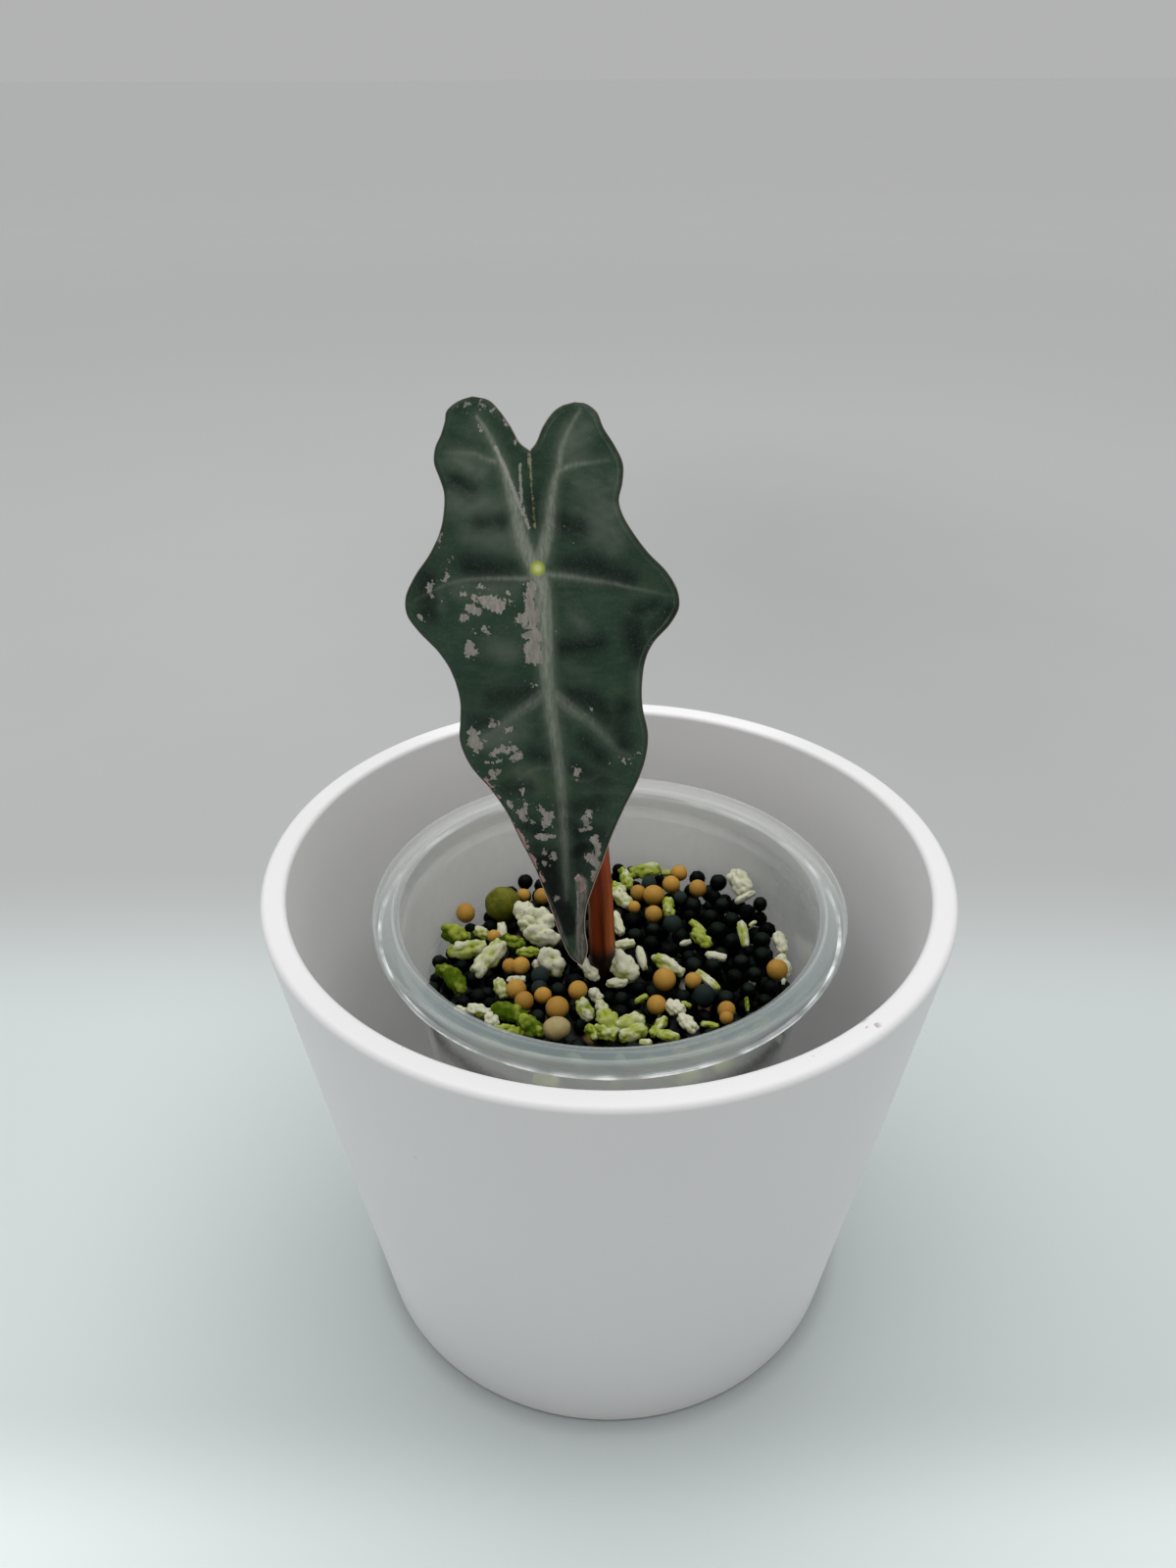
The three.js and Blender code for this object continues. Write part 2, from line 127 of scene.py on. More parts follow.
class Field:
    # what one output of a shader node gives, which adds and multiplies like a number
    def __init__(self, socket):
        self.socket = socket
        self.tree = socket.id_data

    def beside(self, name):
        return Field(self.socket.node.outputs[name])

    def maths(self, operation, other=0.0):
        return put(self.tree, "ShaderNodeMath", {0: self, 1: other}, operation=operation)

    def __add__(self, other):
        return self.maths("ADD", other)

    def __sub__(self, other):
        return self.maths("SUBTRACT", other)

    def __mul__(self, other):
        return self.maths("MULTIPLY", other)

    def __truediv__(self, other):
        return self.maths("DIVIDE", other)

    def remap(self, low, high, newLow=0.0, newHigh=1.0):
        inputs = {"Value": self, "From Min": low, "From Max": high, "To Min": newLow, "To Max": newHigh}
        return put(self.tree, "ShaderNodeMapRange", inputs, interpolation_type="SMOOTHSTEP")

    def ramp(self, low, high, newLow=0.0, newHigh=1.0):
        # the same between two places in mm
        return self.remap(low * mm, high * mm, newLow, newHigh)

    def vector(self, operation, other=(0, 0, 0), output="Value"):
        return put(self.tree, "ShaderNodeVectorMath", {0: self, 1: other}, output, operation=operation)

    def axes(self):
        first = put(self.tree, "ShaderNodeSeparateXYZ", {0: self})
        return [first.beside(name) for name in "XYZ"]

    def mapped(self, scale, shift=(0, 0, 0)):
        return put(self.tree, "ShaderNodeMapping", {"Vector": self, "Location": shift, "Scale": scale})

    def scaling(self, colour):
        return put(self.tree, "ShaderNodeVectorMath", {0: colour, 3: self}, operation="SCALE")

    def noise(self, scale, detail):
        return put(self.tree, "ShaderNodeTexNoise", {"Vector": self, "Scale": scale, "Detail": detail})

    def cells(self, scale):
        return put(self.tree, "ShaderNodeTexVoronoi", {"Vector": self, "Scale": scale})

    def patches(self, scale, low, high, detail=3.0):
        inputs = {"Vector": self, "Scale": scale, "Detail": detail, "Low": low, "High": high}
        return put(self.tree, "ShaderNodeGroup", inputs, node_tree=patchGroup)

    def specks(self, scale, size, share):
        inputs = {"Vector": self, "Scale": scale, "Size": size, "Share": share}
        return put(self.tree, "ShaderNodeGroup", inputs, node_tree=speckGroup)


def feed(socket, value):
    if isinstance(value, Field):
        value.tree.links.new(value.socket, socket)
    elif isinstance(value, tuple) and socket.type == "RGBA":
        socket.default_value = (*value, 1)
    else:
        socket.default_value = value


def put(tree, kind, inputs, output=0, **settings):
    # adds a node and gives one of its outputs
    node = tree.nodes.new(kind)
    for key, value in settings.items():
        setattr(node, key, value)
    for key, value in inputs.items():
        feed(node.inputs[key], value)
    return Field(node.outputs[output])


def mix(share, first, second):
    return put(share.tree, "ShaderNodeMix", {0: share, 6: first, 7: second}, 2, data_type="RGBA")


def scaled(values, factor):
    return tuple(value * factor for value in values)


def newGroup(name, numbers):
    # a node group that reads a vector and some numbers and gives a mask
    group = bpy.data.node_groups.new(name, "ShaderNodeTree")
    group.interface.new_socket(name="Vector", in_out="INPUT", socket_type="NodeSocketVector")
    for label, value in numbers.items():
        socket = group.interface.new_socket(name=label, in_out="INPUT", socket_type="NodeSocketFloat")
        socket.default_value = value
    group.interface.new_socket(name="Mask", in_out="OUTPUT", socket_type="NodeSocketFloat")
    mask = group.nodes.new("NodeGroupOutput").inputs["Mask"]
    given = group.nodes.new("NodeGroupInput").outputs
    return group, mask, [Field(given[label]) for label in ("Vector", *numbers)]


def buildPatches():
    # soft uneven patches: one noise, cut between two levels
    group, mask, given = newGroup("softPatches", {"Scale": 100.0, "Detail": 3.0, "Low": 0.35, "High": 0.65})
    vector, scale, detail, low, high = given
    inputs = {"Vector": vector, "Scale": scale, "Detail": detail, "Roughness": 0.6}
    feed(mask, put(group, "ShaderNodeTexNoise", inputs).remap(low, high))
    return group


def buildSpecks():
    # small dots: the middles of cells, in only a share of the cells
    group, mask, given = newGroup("tinySpecks", {"Scale": 600.0, "Size": 0.3, "Share": 0.3})
    vector, scale, size, share = given
    cells = vector.cells(scale)
    red, green, _ = cells.beside("Color").axes()
    dot = (size * green - cells).remap(0, 0.06)
    feed(mask, dot * red.maths("LESS_THAN", share))
    return group


patchGroup = buildPatches()
speckGroup = buildSpecks()


class Paint:
    # a material whose colour is covered step by step with other colours
    def __init__(self, name, roughness=0.5, specular=0.5):
        self.material = bpy.data.materials.new(name)
        self.material.use_nodes = True
        self.tree = self.material.node_tree
        self.place = put(self.tree, "ShaderNodeTexCoord", {}, "Object")
        self.set("Roughness", roughness)
        self.set("Specular IOR Level", specular)

    def set(self, name, value):
        feed(self.tree.nodes["Principled BSDF"].inputs[name], value)

    def read(self, name):
        return put(self.tree, "ShaderNodeAttribute", {}, "Fac", attribute_name=name)

    def base(self, share, first, second):
        self.colour = mix(share, first, second)

    def cover(self, share, colour):
        self.colour = mix(share, self.colour, colour)

    def finish(self, height=None, distance=0.0, strength=1.0):
        # the height raises the surface's look by up to the distance in metres
        self.set("Base Color", self.colour)
        if height:
            inputs = {"Height": height, "Distance": distance, "Strength": strength}
            self.set("Normal", put(self.tree, "ShaderNodeBump", inputs))
        return self.material


# Camera, floor and light

viewSizes = Values(
    place=(-3.1, -155.8, 191.6), pitch=30.97, roll=-0.26, focal=27.22, sensor=36, nearest=10,
)
lightSizes = Values(
    sky=(0.99, 1, 0.995), skyStrength=0.45, boxPlace=(-10, 90, 700), boxWidth=800, boxPower=3.75,
)
floorSizes = Values(
    reach=80000, near=(0.60, 0.655, 0.65), far=(0.450, 0.462, 0.460), change=(50, 120),
    lampReach=1000, lampShare=1.3, farLimit=0.97, front=(-37, -62), frontGain=1.36,
    left=(-45, -110), leftGain=1.09, foot=(42, 45.5), footShade=0.80,
    dimPlace=(85, 350), dimReach=(240, 300), dimShade=0.86,
    cloud=(0.75, 0.78, 0.78), cloudShare=0.06, roughness=0.7,
)


def makeCamera(s):
    lens = bpy.data.cameras.new("camera")
    lens.lens = s.focal
    lens.sensor_width = s.sensor
    lens.clip_start = s.nearest * mm
    camera = linked("camera", lens)
    pitch = Matrix.Rotation(math.radians(90 - s.pitch), 4, "X")
    roll = Matrix.Rotation(math.radians(s.roll), 4, "Z")
    camera.matrix_world = Matrix.Translation(Vector(s.place) * mm) @ pitch @ roll
    bpy.context.scene.camera = camera


def makeLight(s):
    world = bpy.data.worlds.new("studio")
    bpy.context.scene.world = world
    world.use_nodes = True
    sky = world.node_tree.nodes["Background"].inputs
    feed(sky["Color"], s.sky)
    feed(sky["Strength"], s.skyStrength)
    lamp = bpy.data.lights.new("overheadBox", "AREA")
    lamp.energy = s.boxPower
    lamp.size = s.boxWidth * mm
    box = linked("overheadBox", lamp)
    box.location = Vector(s.boxPlace) * mm
    box.rotation_euler = (-box.location).to_track_quat("-Z", "Y").to_euler()
    bpy.context.scene.view_settings.view_transform = "Standard"


def floorMaterial(s):
    paint = Paint("paleFloor", s.roughness)
    place = paint.place
    across, depth, _ = place.axes()
    far = place.vector("LENGTH")
    # painted light and shade: the near floor is painted lighter towards the front and the left, and darker
    # in a ring round the pot's foot as a painted contact shadow
    gain = depth.ramp(*s.front, 1, s.frontGain) * across.ramp(*s.left, 1, s.leftGain)
    near = (gain * far.ramp(*s.foot, s.footShade, 1)).scaling(s.near)
    # the lamp's light fades with distance, so the far floor is paler by as much
    ratio = far / (s.lampReach * mm)
    spread = ratio * ratio + 1
    spread = spread * spread
    gain = spread * (1 + s.lampShare) / (spread + s.lampShare)
    # a soft patch of painted shade on the far floor
    shift = [-middle / reach for middle, reach in zip(s.dimPlace, s.dimReach)]
    scale = [1 / (reach * mm) for reach in s.dimReach]
    away = place.mapped((*scale, 0), (*shift, 0)).vector("LENGTH")
    gain = gain * away.remap(0, 1, s.dimShade, 1)
    farthest = gain.scaling(s.far).vector("MINIMUM", (s.farLimit,) * 3, "Vector")
    paint.base(depth.ramp(*s.change), near, farthest)
    paint.cover(place.patches(9, 0.2, 0.8) * s.cloudShare, s.cloud)
    return paint.finish()


def makeFloor(s):
    bm = bmesh.new()
    bmesh.ops.create_grid(bm, x_segments=8, y_segments=8, size=s.reach / 2 * mm)
    floor = meshObject("floor", bm, floorMaterial(s))


makeCamera(viewSizes)
makeLight(lightSizes)
makeFloor(floorSizes)
print("camera, light and floor are set")


# Cover pot: matt white, straight taper, flat rim with eased edges, a foot ring round a shallow recess

potSizes = Values(
    height=84.75, rimRadius=54, innerRimRadius=50.1, baseRadius=42.1, floor=4,
    footInner=36, footRecess=1, rimRound=1, baseRound=1.5, innerRound=4,
    segments=192, roughness=0.38, specular=0.4,
    colour=(0.825, 0.812, 0.822), cloudShade=0.985, back=(34, 45), backGain=1.13,
    wallColour=(0.80, 0.79, 0.795), low=(45, 8), lowGain=1.12,
    frontColour=(0.72, 0.70, 0.705), footStep=(1.4, 0.6, 0.7),
    dust=(0.35, 0.31, 0.27), dustShare=0.3,
    scuffs=[(33.4, -39.5, 2.2), (24.8, -45.3, 1), (-27.5, -43, 0.8)],  # x, y and reach
    scuff=(0.22, 0.15, 0.09), scuffShare=0.6,
)


def potMaterial(s):
    paint = Paint("mattWhitePot", s.roughness, s.specular)
    place = paint.place
    facing = place.beside("Normal")
    depth, height = place.axes()[1:]
    backward, upward = facing.axes()[1:]
    paint.base(place.patches(45, 0.3, 0.7), s.colour, scaled(s.colour, s.cloudShade))
    # painted light and shade: the rim is painted lighter towards the back, and the wall is painted darker
    # than the rim, lighter low down and darker where it faces the front
    top = depth.ramp(*s.back, 1, s.backGain).scaling(paint.colour)
    outside = facing.vector("DOT_PRODUCT", place).maths("GREATER_THAN", 0)
    wall = height.ramp(*s.low, 1, s.lowGain).scaling(s.wallColour)
    wall = mix(backward.remap(-0.5, -1) * outside, wall, s.frontColour)
    paint.base(upward.remap(0.1, 0.6), wall, top)
    paint.cover(place.specks(260, 0.16, 0.035) * s.dustShare, s.dust)
    marks = place.patches(900, 0.56, 0.62, 1) * s.scuffShare
    for x, y, reach in s.scuffs:
        away = place.vector("DISTANCE", (x * mm, y * mm, (s.height - 0.3) * mm))
        paint.cover(away.ramp(reach, reach * 0.4) * marks, s.scuff)
    return paint.finish(place.noise(1600, 2), 0.00003, 0.4)


def makePot(s):
    taper = (s.rimRadius - s.baseRadius) / s.height
    innerBase = s.innerRimRadius - taper * (s.height - s.floor - s.innerRound)
    top = s.height - s.rimRound
    start, middle, share = s.footStep
    profile = [(0, s.footRecess), (s.footInner - start, s.footRecess),
               (s.footInner - middle, s.footRecess * share), (s.footInner, 0),
               *arc(s.baseRadius - s.baseRound, s.baseRound, s.baseRound, -90, 0, 5),
               *arc(s.rimRadius - s.rimRound, top, s.rimRound, 0, 90, 6),
               *arc(s.innerRimRadius + s.rimRound, top, s.rimRound, 90, 180, 6),
               *arc(innerBase - s.innerRound, s.floor + s.innerRound, s.innerRound, 0, -90, 8),
               (0, s.floor)]
    finishPiece("coverPot", spun(profile, s.segments), potMaterial(s), ["cover_pot"], 60)


makePot(potSizes)


# Nursery cup: thin milky plastic with a channelled flange and a stepped skirt

cupSizes = Values(
    centre=(0.2, -0.7), floor=4.3, wall=0.6, segments=192,
    footInner=21.6, footOuter=23.5, footHeight=0.9, baseRadius=24.4,
    coneTop=67.3, coneTopRadius=33.3, ledgeRadius=34.9, ledgeHeight=1, neckRadius=34.2,
    lipRadius=33.7, lipDrop=1.2, ridgeRadius=34.7, ridgeDrop=0.3,
    channelRadius=35.2, channelDrop=0.7, flangeRadius=38, flangeHeight=73.5, bead=0.6,
    skirtWall=0.6, skirtStep=0.7, skirtStepDrop=2.6, skirtDepth=4, ease=0.16,
    outOfRound=0.0022, outOfFlat=0.12, underFlange=(4.4, 3.6), skirtEdge=3.8,
    skirtShine=(0.45, 0.1), right=(12, 32), depth=(-34, 34),
    frontWall=(-8, -24), rightWall=(16, 33), shoulder=(63, 67), lowWall=(62, 58),
    colour=(0.80, 0.82, 0.775), hazeShade=0.94, rightColour=(0.33, 0.35, 0.34),
    flangeFront=(0.215, 0.275, 0.27), flangeBack=(0.65, 0.65, 0.63), ringColour=(0.72, 0.76, 0.75),
    wallAlpha=0.17, shoulderAlpha=0.5, flangeAlpha=0.42, lowAlpha=0.5, hazeAlpha=0.09,
    paleRings=[(37.7, 0.4), (34.75, 0.35), (33.75, 0.4)],  # radius and reach
    ringShare=0.5, daylight=(0.9, 0.93, 0.92), footAlpha=0.6, footShine=0.5, seenThrough=0.05,
    roughness=0.16, specular=0.55,
)


def cupMaterial(s):
    paint = Paint("milkyCup", s.roughness, s.specular)
    place = paint.place
    across, depth, height = place.axes()
    x, y = s.centre
    reach = place.mapped((1, 1, 0), (-x * mm, -y * mm, 0)).vector("LENGTH")
    haze = place.mapped((95, 95, 30)).patches(1, 0.4, 0.75)
    top = s.floor + s.flangeHeight
    onFlange = height.ramp(*(top - drop for drop in s.underFlange))
    # the bead, the ridge and the lip are paler, partly because thicker plastic looks milkier and partly as
    # painted highlights on their edges
    rings = 0.0
    for radius, width in s.paleRings:
        away = (reach - radius * mm).maths("ABSOLUTE")
        rings = away.ramp(width, width * 0.3).maths("MAXIMUM", rings)
    # painted highlight: uneven glints on the skirt's lower edge, painted paler, more opaque and glowing
    fromEdge = (height - (top - s.skirtEdge) * mm).maths("ABSOLUTE")
    onSkirt = reach.maths("GREATER_THAN", s.channelRadius * mm)
    shine = fromEdge.ramp(*s.skirtShine) * onSkirt
    shine = shine * place.noise(190, 3).remap(0.35, 0.65, 0.25, 1)
    paint.base(haze, s.colour, scaled(s.colour, s.hazeShade))
    # painted shade: the wall is darker at the right
    paint.cover(across.ramp(*s.right), s.rightColour)
    # painted shade and light: the flange is painted darker at the front and lighter at the back
    flange = mix(depth.ramp(*s.depth), s.flangeFront, s.flangeBack)
    paint.cover(onFlange, mix(rings * s.ringShare, flange, s.ringColour))
    # painted highlight on the skirt's edge
    paint.cover(shine, s.daylight)
    # painted light: the wall glows a little, standing in for daylight that comes through the milky plastic
    # from behind, and the painted glints glow more
    paint.set("Emission Color", (shine * s.footShine + s.seenThrough).scaling(s.daylight))
    paint.set("Emission Strength", 1.0)
    # the wall is clear at the back left, milkier at its shoulder in front and at the right, and below
    hidden = depth.ramp(*s.frontWall).maths("MAXIMUM", across.ramp(*s.rightWall))
    shoulder = height.ramp(*s.shoulder) * hidden * (s.shoulderAlpha - s.wallAlpha)
    alpha = height.ramp(*s.lowWall, s.wallAlpha, s.lowAlpha) + shoulder + haze * s.hazeAlpha
    alpha = put(paint.tree, "ShaderNodeMix", {0: onFlange, 2: alpha, 3: s.flangeAlpha})
    paint.set("Alpha", alpha + shine * s.footAlpha)
    return paint.finish(place.noise(140, 2), 0.0004, onFlange.remap(0, 1, 0.35, 0.1))


def cupRadius(s, height):
    rise = (height - s.footHeight) / (s.coneTop - s.footHeight)
    return s.baseRadius + (s.coneTopRadius - s.baseRadius) * rise


def cupProfile(s):
    top, wall, foot = s.flangeHeight, s.wall, s.footHeight
    cone, neck, flange, bead = s.coneTopRadius, s.neckRadius, s.flangeRadius, s.bead
    channel = top - s.channelDrop
    ledge = s.coneTop + wall
    ledgeTop = ledge + s.ledgeHeight
    skirt = flange - s.skirtStep
    skirtFoot = top - s.skirtDepth
    profile = [
        (0, foot), (s.footInner - foot, foot), (s.footInner, 0), (s.footOuter, 0),
        (s.baseRadius, foot), (cone, s.coneTop), (s.ledgeRadius, ledge),
        (s.ledgeRadius, ledgeTop), (neck, ledgeTop + wall), (neck, channel - wall),
        (skirt - s.skirtWall, channel - wall), (skirt - s.skirtWall, skirtFoot), (skirt, skirtFoot),
        (skirt, top - s.skirtStepDrop), (flange, top - s.skirtStepDrop),
        (flange, top - bead), (flange - bead, top), (flange - 2 * bead, channel),
        (s.channelRadius, channel), (s.ridgeRadius, top - s.ridgeDrop),
        (s.lipRadius, top - s.lipDrop), (neck - wall, ledgeTop + wall), (cone - wall, s.coneTop),
        (s.baseRadius - wall, foot + wall), (0, foot + wall),
    ]
    return [(r, z + s.floor) for r, z in profile]


def makeCup(s):
    bm = spun(cupProfile(s), s.segments)
    easeRings(bm, s.ease)
    for vert in bm.verts:  # thin plastic is never quite round or flat
        angle = math.atan2(vert.co.y, vert.co.x)
        share = vert.co.z / (s.floor + s.flangeHeight) / mm
        vert.co.xy *= 1 + s.outOfRound * share**6 * math.sin(3 * angle + 0.6)
        vert.co.z += s.outOfFlat * mm * share**6 * math.sin(2 * angle + 2.1)
    bmesh.ops.translate(bm, verts=bm.verts, vec=(s.centre[0] * mm, s.centre[1] * mm, 0))
    finishPiece("nurseryCup", bm, cupMaterial(s), ["nursery_cup"], 50)


makeCup(cupSizes)


# Substrate: a plug up to just below the surface, then loose grains that settle on it one by one

bedSizes = Values(
    plugBottom=6.1, plugTop=57, plugGap=0.35, plugEase=1.2, plugSegments=128, seed=5,
    level=61.7, slope=(0.035, 0.03), bank=(25, 15.5, 9, 3), measuredAt=62.8,
    prillLift=0.7, lumpLift=-0.4,
    grainRadius=(1.28, 1.72), stem=(-0.9, 0.5, 2.3), tries=26,
    layers=[(-2.4, False), (0.2, True)],  # height over the bed, and whether grains rest on the lumps
    misses=70, spread=31.6, overlap=0.25,
    darkest=(0, 0.0002, 0.0001), dark=(0.0010, 0.0024, 0.0017), crown=(0.012, 0.018, 0.014),
    grey=(0.023, 0.035, 0.033), dust=(0.014, 0.020, 0.016), plug=(0.008, 0.010, 0.011),
    plugPale=(0.5, 0.49, 0.40), plugTan=(0.34, 0.18, 0.04), plugGreen=(0.26, 0.32, 0.07),
    plugHollow=(0.003, 0.003, 0.003),
    greyGrains=[(11.7, 10.8, 1.7), (13.6, 18.6, 1.2), (15.6, -8.1, 1.8), (-11.2, -3.1, 1.6),
                (-11.3, -6.3, 1.4), (8.1, 22.9, 1.5)],  # x, y and radius
)
prillSizes = Values(
    seed=3,
    prills=[  # x, y and diameter
        (-25.1, 14.2, 3.5), (-15, -6.5, 3.5), (-13.6, -9.4, 3.2), (-10.6, -8, 2.8), (-8.2, -11, 3.9),
        (-4.9, -6.8, 3.2), (-14.5, -0.5, 3), (-16.4, -0.5, 2.6), (-19.6, 7.4, 2.4), (-15, 19.4, 2.5),
        (-11.6, 19.1, 2.9), (13.9, 26.2, 3.1), (12.2, 22.5, 3.3), (17, 21.3, 3.2), (6, 20.1, 2.9),
        (8.8, 19.2, 3.9), (5.1, 15.7, 2.3), (8.5, 13.6, 3), (9.4, -4.2, 3.9), (14.1, -4.5, 2.8),
        (28.4, -1.8, 3.6), (7.8, -10.4, 3.3), (18.9, -11.7, 2.8), (18.7, -13.5, 2.2),
        # behind the flange's front
        (-15.2, -22.4, 3.2), (4.4, -25.6, 3.3), (10.9, -21.8, 2.9), (16.6, -20.2, 3), (-7.9, -24.6, 2.8),
    ],
    colour=(0.52, 0.285, 0.05),
)
# dents: the depth and the fineness of each kind
pebbleSizes = Values(
    place=(-8.2, -15.8, 2), shape=(1.12, 0.95, 0.95), turn=(0.2, 0.1, 0.3), tone=0.6,
    dents=[(0.10, 2.2)], rings=(32, 20), colour=(0.42, 0.335, 0.16),
)
clayBallSizes = Values(
    place=(-18.6, 16.9, 3.2), shape=(1, 0.97, 1.02), turn=(0.3, 0.5, 0), tone=0.5,
    dents=[(0.16, 1.8), (0.05, 7)], rings=(48, 32),
    colour=(0.17, 0.165, 0.006), shade=(0.060, 0.075, 0.003), dots=(0.04, 0.03, 0.008),
)
perliteSizes = Values(
    seed=9, swell=1.14, dent=0.62,
    lumps=[  # the two ends of each lump's middle line, its radius, and how green it is
        (-14.6, 14.6, -13.8, 12.6, 2.1, 0.2), (-12.2, 12.6, -11.2, 11, 2.1, 0.15),
        (-14, 10.8, -12.6, 9.9, 1.6, 0.3), (-12.6, 7.8, -10, 7.2, 1.9, 0.15),
        (-25.8, 4.1, -22, 3.6, 1.6, 0.55), (-18.9, 4.6, -21.1, -1.6, 1.8, 0.45),
        (-9.9, 1.1, -8.9, -0.2, 2.1, 0.1), (-14.5, 3.2, -12.4, 3, 1, 0.8),
        (-17, 6.2, -15.1, 5.4, 1.3, 1.2), (-18.4, 10.3, -18.1, 7.6, 0.9, 0.1),
        (-22.3, 9, -21.3, 7.9, 1, 0.45), (-27.4, 8.5, -25.4, 7.6, 1.7, 1),
        (-27.7, -1.6, -26.3, -2.1, 1.2, 1.2), (-25.9, -2.8, -24.5, -5.6, 1.6, 1.3),
        (-12, -0.1, -11.6, -0.9, 0.8, 0.1), (-16.1, -3.9, -14.1, -4.2, 0.7, 0.1),
        (-17.8, -5.1, -17.2, -7.3, 1.1, 0.45), (-24, -11.5, -23.3, -12, 1, 0.1),
        (-21.6, -11.5, -19.7, -12, 1.2, 0.1), (-18.8, -13.4, -18.3, -14.5, 1.1, 0.1),
        (-17.3, -11.3, -14.5, -12.7, 1.6, 1.3), (-13, -14.3, -11.4, -16.3, 1.6, 1.15),
        (-16.8, -16.1, -14.3, -16.5, 1.1, 0.8), (-3.6, -0.2, -2.4, -2.7, 1.4, 0.1),
        (-2.3, -7.4, -1.7, -8.6, 1, 0.1), (-4.2, -10.5, -3.3, -12.3, 1.3, 0.45),
        (-1.2, -10.7, -0.6, -12.8, 1.1, 0.45), (-0.5, -13.7, 1, -15.1, 1.7, 0.6),
        (2, -15.5, 4.5, -13.8, 1.5, 0.5), (2.8, -17.3, 4.7, -16.4, 1.4, 0.6),
        (-1.4, -16.4, 0.1, -17.3, 1.2, 0.7), (-3, -16.2, -2.5, -17.3, 1, 0.8),
        (1.7, 1.3, 3.3, -2.3, 2, 0.1), (5.6, 3.4, 6.1, -0.8, 0.9, 0.1), (0.6, -5.2, 2.6, -4.8, 0.9, 0.1),
        (8.7, 0.7, 11.8, -1.6, 1.3, 0.45), (15.5, -2.6, 17.5, -6.3, 0.9, 0.45),
        (17.4, 1.7, 19.6, 1.7, 0.8, 0.1), (15.3, 10.9, 16.7, 8.7, 0.8, 0.8),
        (15.9, 7.9, 17, 5.4, 1.2, 0.8), (23.9, 10.3, 23.8, 5.4, 0.9, 0.45),
        (25.4, 10.3, 26.2, 11.1, 0.4, 0.45), (24.6, 24.6, 25.2, 21.8, 1.8, 0.1),
        (24, 17.8, 26.8, 19.4, 0.7, -0.2), (30, 6.9, 29.9, 3.2, 1.2, 0.1),
        (29.4, 0.1, 29.6, -2, 1.3, 0.1), (13, 5.2, 14.2, 5.7, 0.5, -0.2), (1.7, 4.7, 4, 5.2, 1, 0.45),
        (1.8, 13.3, 2.4, 8.5, 1, 0.1), (2.2, 19.8, 3.9, 16.8, 1.4, 0.45), (6, 26.8, 9.2, 26.9, 1.5, 0.8),
        (3.6, 26.6, 4.2, 22.5, 1.2, 0.8), (1.9, 21.9, 2.9, 21, 1.1, 0.8),
        (11, 26.2, 12.4, 25.9, 0.8, 0.8), (11.3, 17.3, 11.3, 13.8, 1.1, 0.8),
        (4.8, -9.6, 6.1, -8.4, 0.6, 0.8), (10.3, -10.8, 11.2, -11.5, 1.3, 0.1),
        (12, -13.8, 12.9, -15.6, 1.2, 0.1), (7.1, -16.9, 8.5, -14.2, 1, 0.6),
        (15, -14.7, 16.8, -15.6, 0.6, 0.8), (8.3, -17.4, 10.2, -17.6, 0.9, 0.8),
        (5.1, -19.1, 6.1, -18.9, 0.6, 0.45), (12.2, -10.3, 12.8, -10.6, 0.6, 0.8),
        (28.9, -5.2, 29.1, -4.5, 0.4, 0.1), (22.4, -9.2, 22.3, -11.6, 0.4, 1),
        # behind the flange's front, where the photo only hints at what lies there
        (-19.5, -19.5, -17.5, -21, 1.7, 0.8), (-12.5, -22.5, -10.5, -23.5, 1.5, 0.5),
        (-5.5, -23, -4, -24.4, 1.3, 0.2), (-1, -26.4, 0.6, -27.2, 1.4, 0.8),
        (6.5, -24, 8.5, -25, 1.8, 0.9), (12.5, -23, 14.5, -22, 1.6, 0.6),
        (19.5, -20, 21, -18.4, 1.2, 0.1), (-10.4, -27, -8.6, -27.6, 1.2, 0.7),
        (1.5, -22.6, 2.5, -24, 0.9, 0.2), (23.5, -16.4, 24.5, -15.2, 1.3, 0.8),
        (11, -27, 12.6, -26.2, 1.2, 0.8), (16.4, -24.4, 17.8, -23.4, 1.1, 0.8),
    ],
    white=(0.62, 0.615, 0.46), green=(0.33, 0.38, 0.05), deepGreen=(0.06, 0.105, 0.002),
    pits=(0.10, 0.11, 0.04),
)


def bedLevel(x, y):
    # the bed slopes a little, with a low bank at the right back
    bankX, bankY, reach, rise = bedSizes.bank
    bank = rise * math.exp(-((x - bankX) ** 2 + (y - bankY) ** 2) / reach**2)
    return bedSizes.level + bedSizes.slope[0] * x + bedSizes.slope[1] * y + bank


def roomInside(x, y, z):
    # how far a point is from the cup's wall
    inside = cupRadius(cupSizes, z - cupSizes.floor) - cupSizes.wall
    return inside - math.dist((x, y), cupSizes.centre)


def seated(x, y, radius, lift=bedSizes.prillLift):
    # slides a place measured at one level along the line of sight, out of the bed and inside the wall
    eye = viewSizes.place
    z = bedSizes.level - 3
    while True:
        share = (eye[2] - z) / (eye[2] - bedSizes.measuredAt)
        px = eye[0] + (x - eye[0]) * share
        py = eye[1] + (y - eye[1]) * share
        if roomInside(px, py, z) > 0.95 * radius and z >= bedLevel(px, py) + lift:
            return px, py, z
        z += 0.1


def lumpEnds(lump):
    # a lump seen tall in the photo stands up as much as it lies back
    ax, ay, bx, by, radius = lump[:5]
    lift = bedSizes.lumpLift + 0.75 * radius
    lean = 0.15 * (ay - by)
    return seated(ax, ay, radius, lift + lean), seated(bx, by, radius, lift - lean)


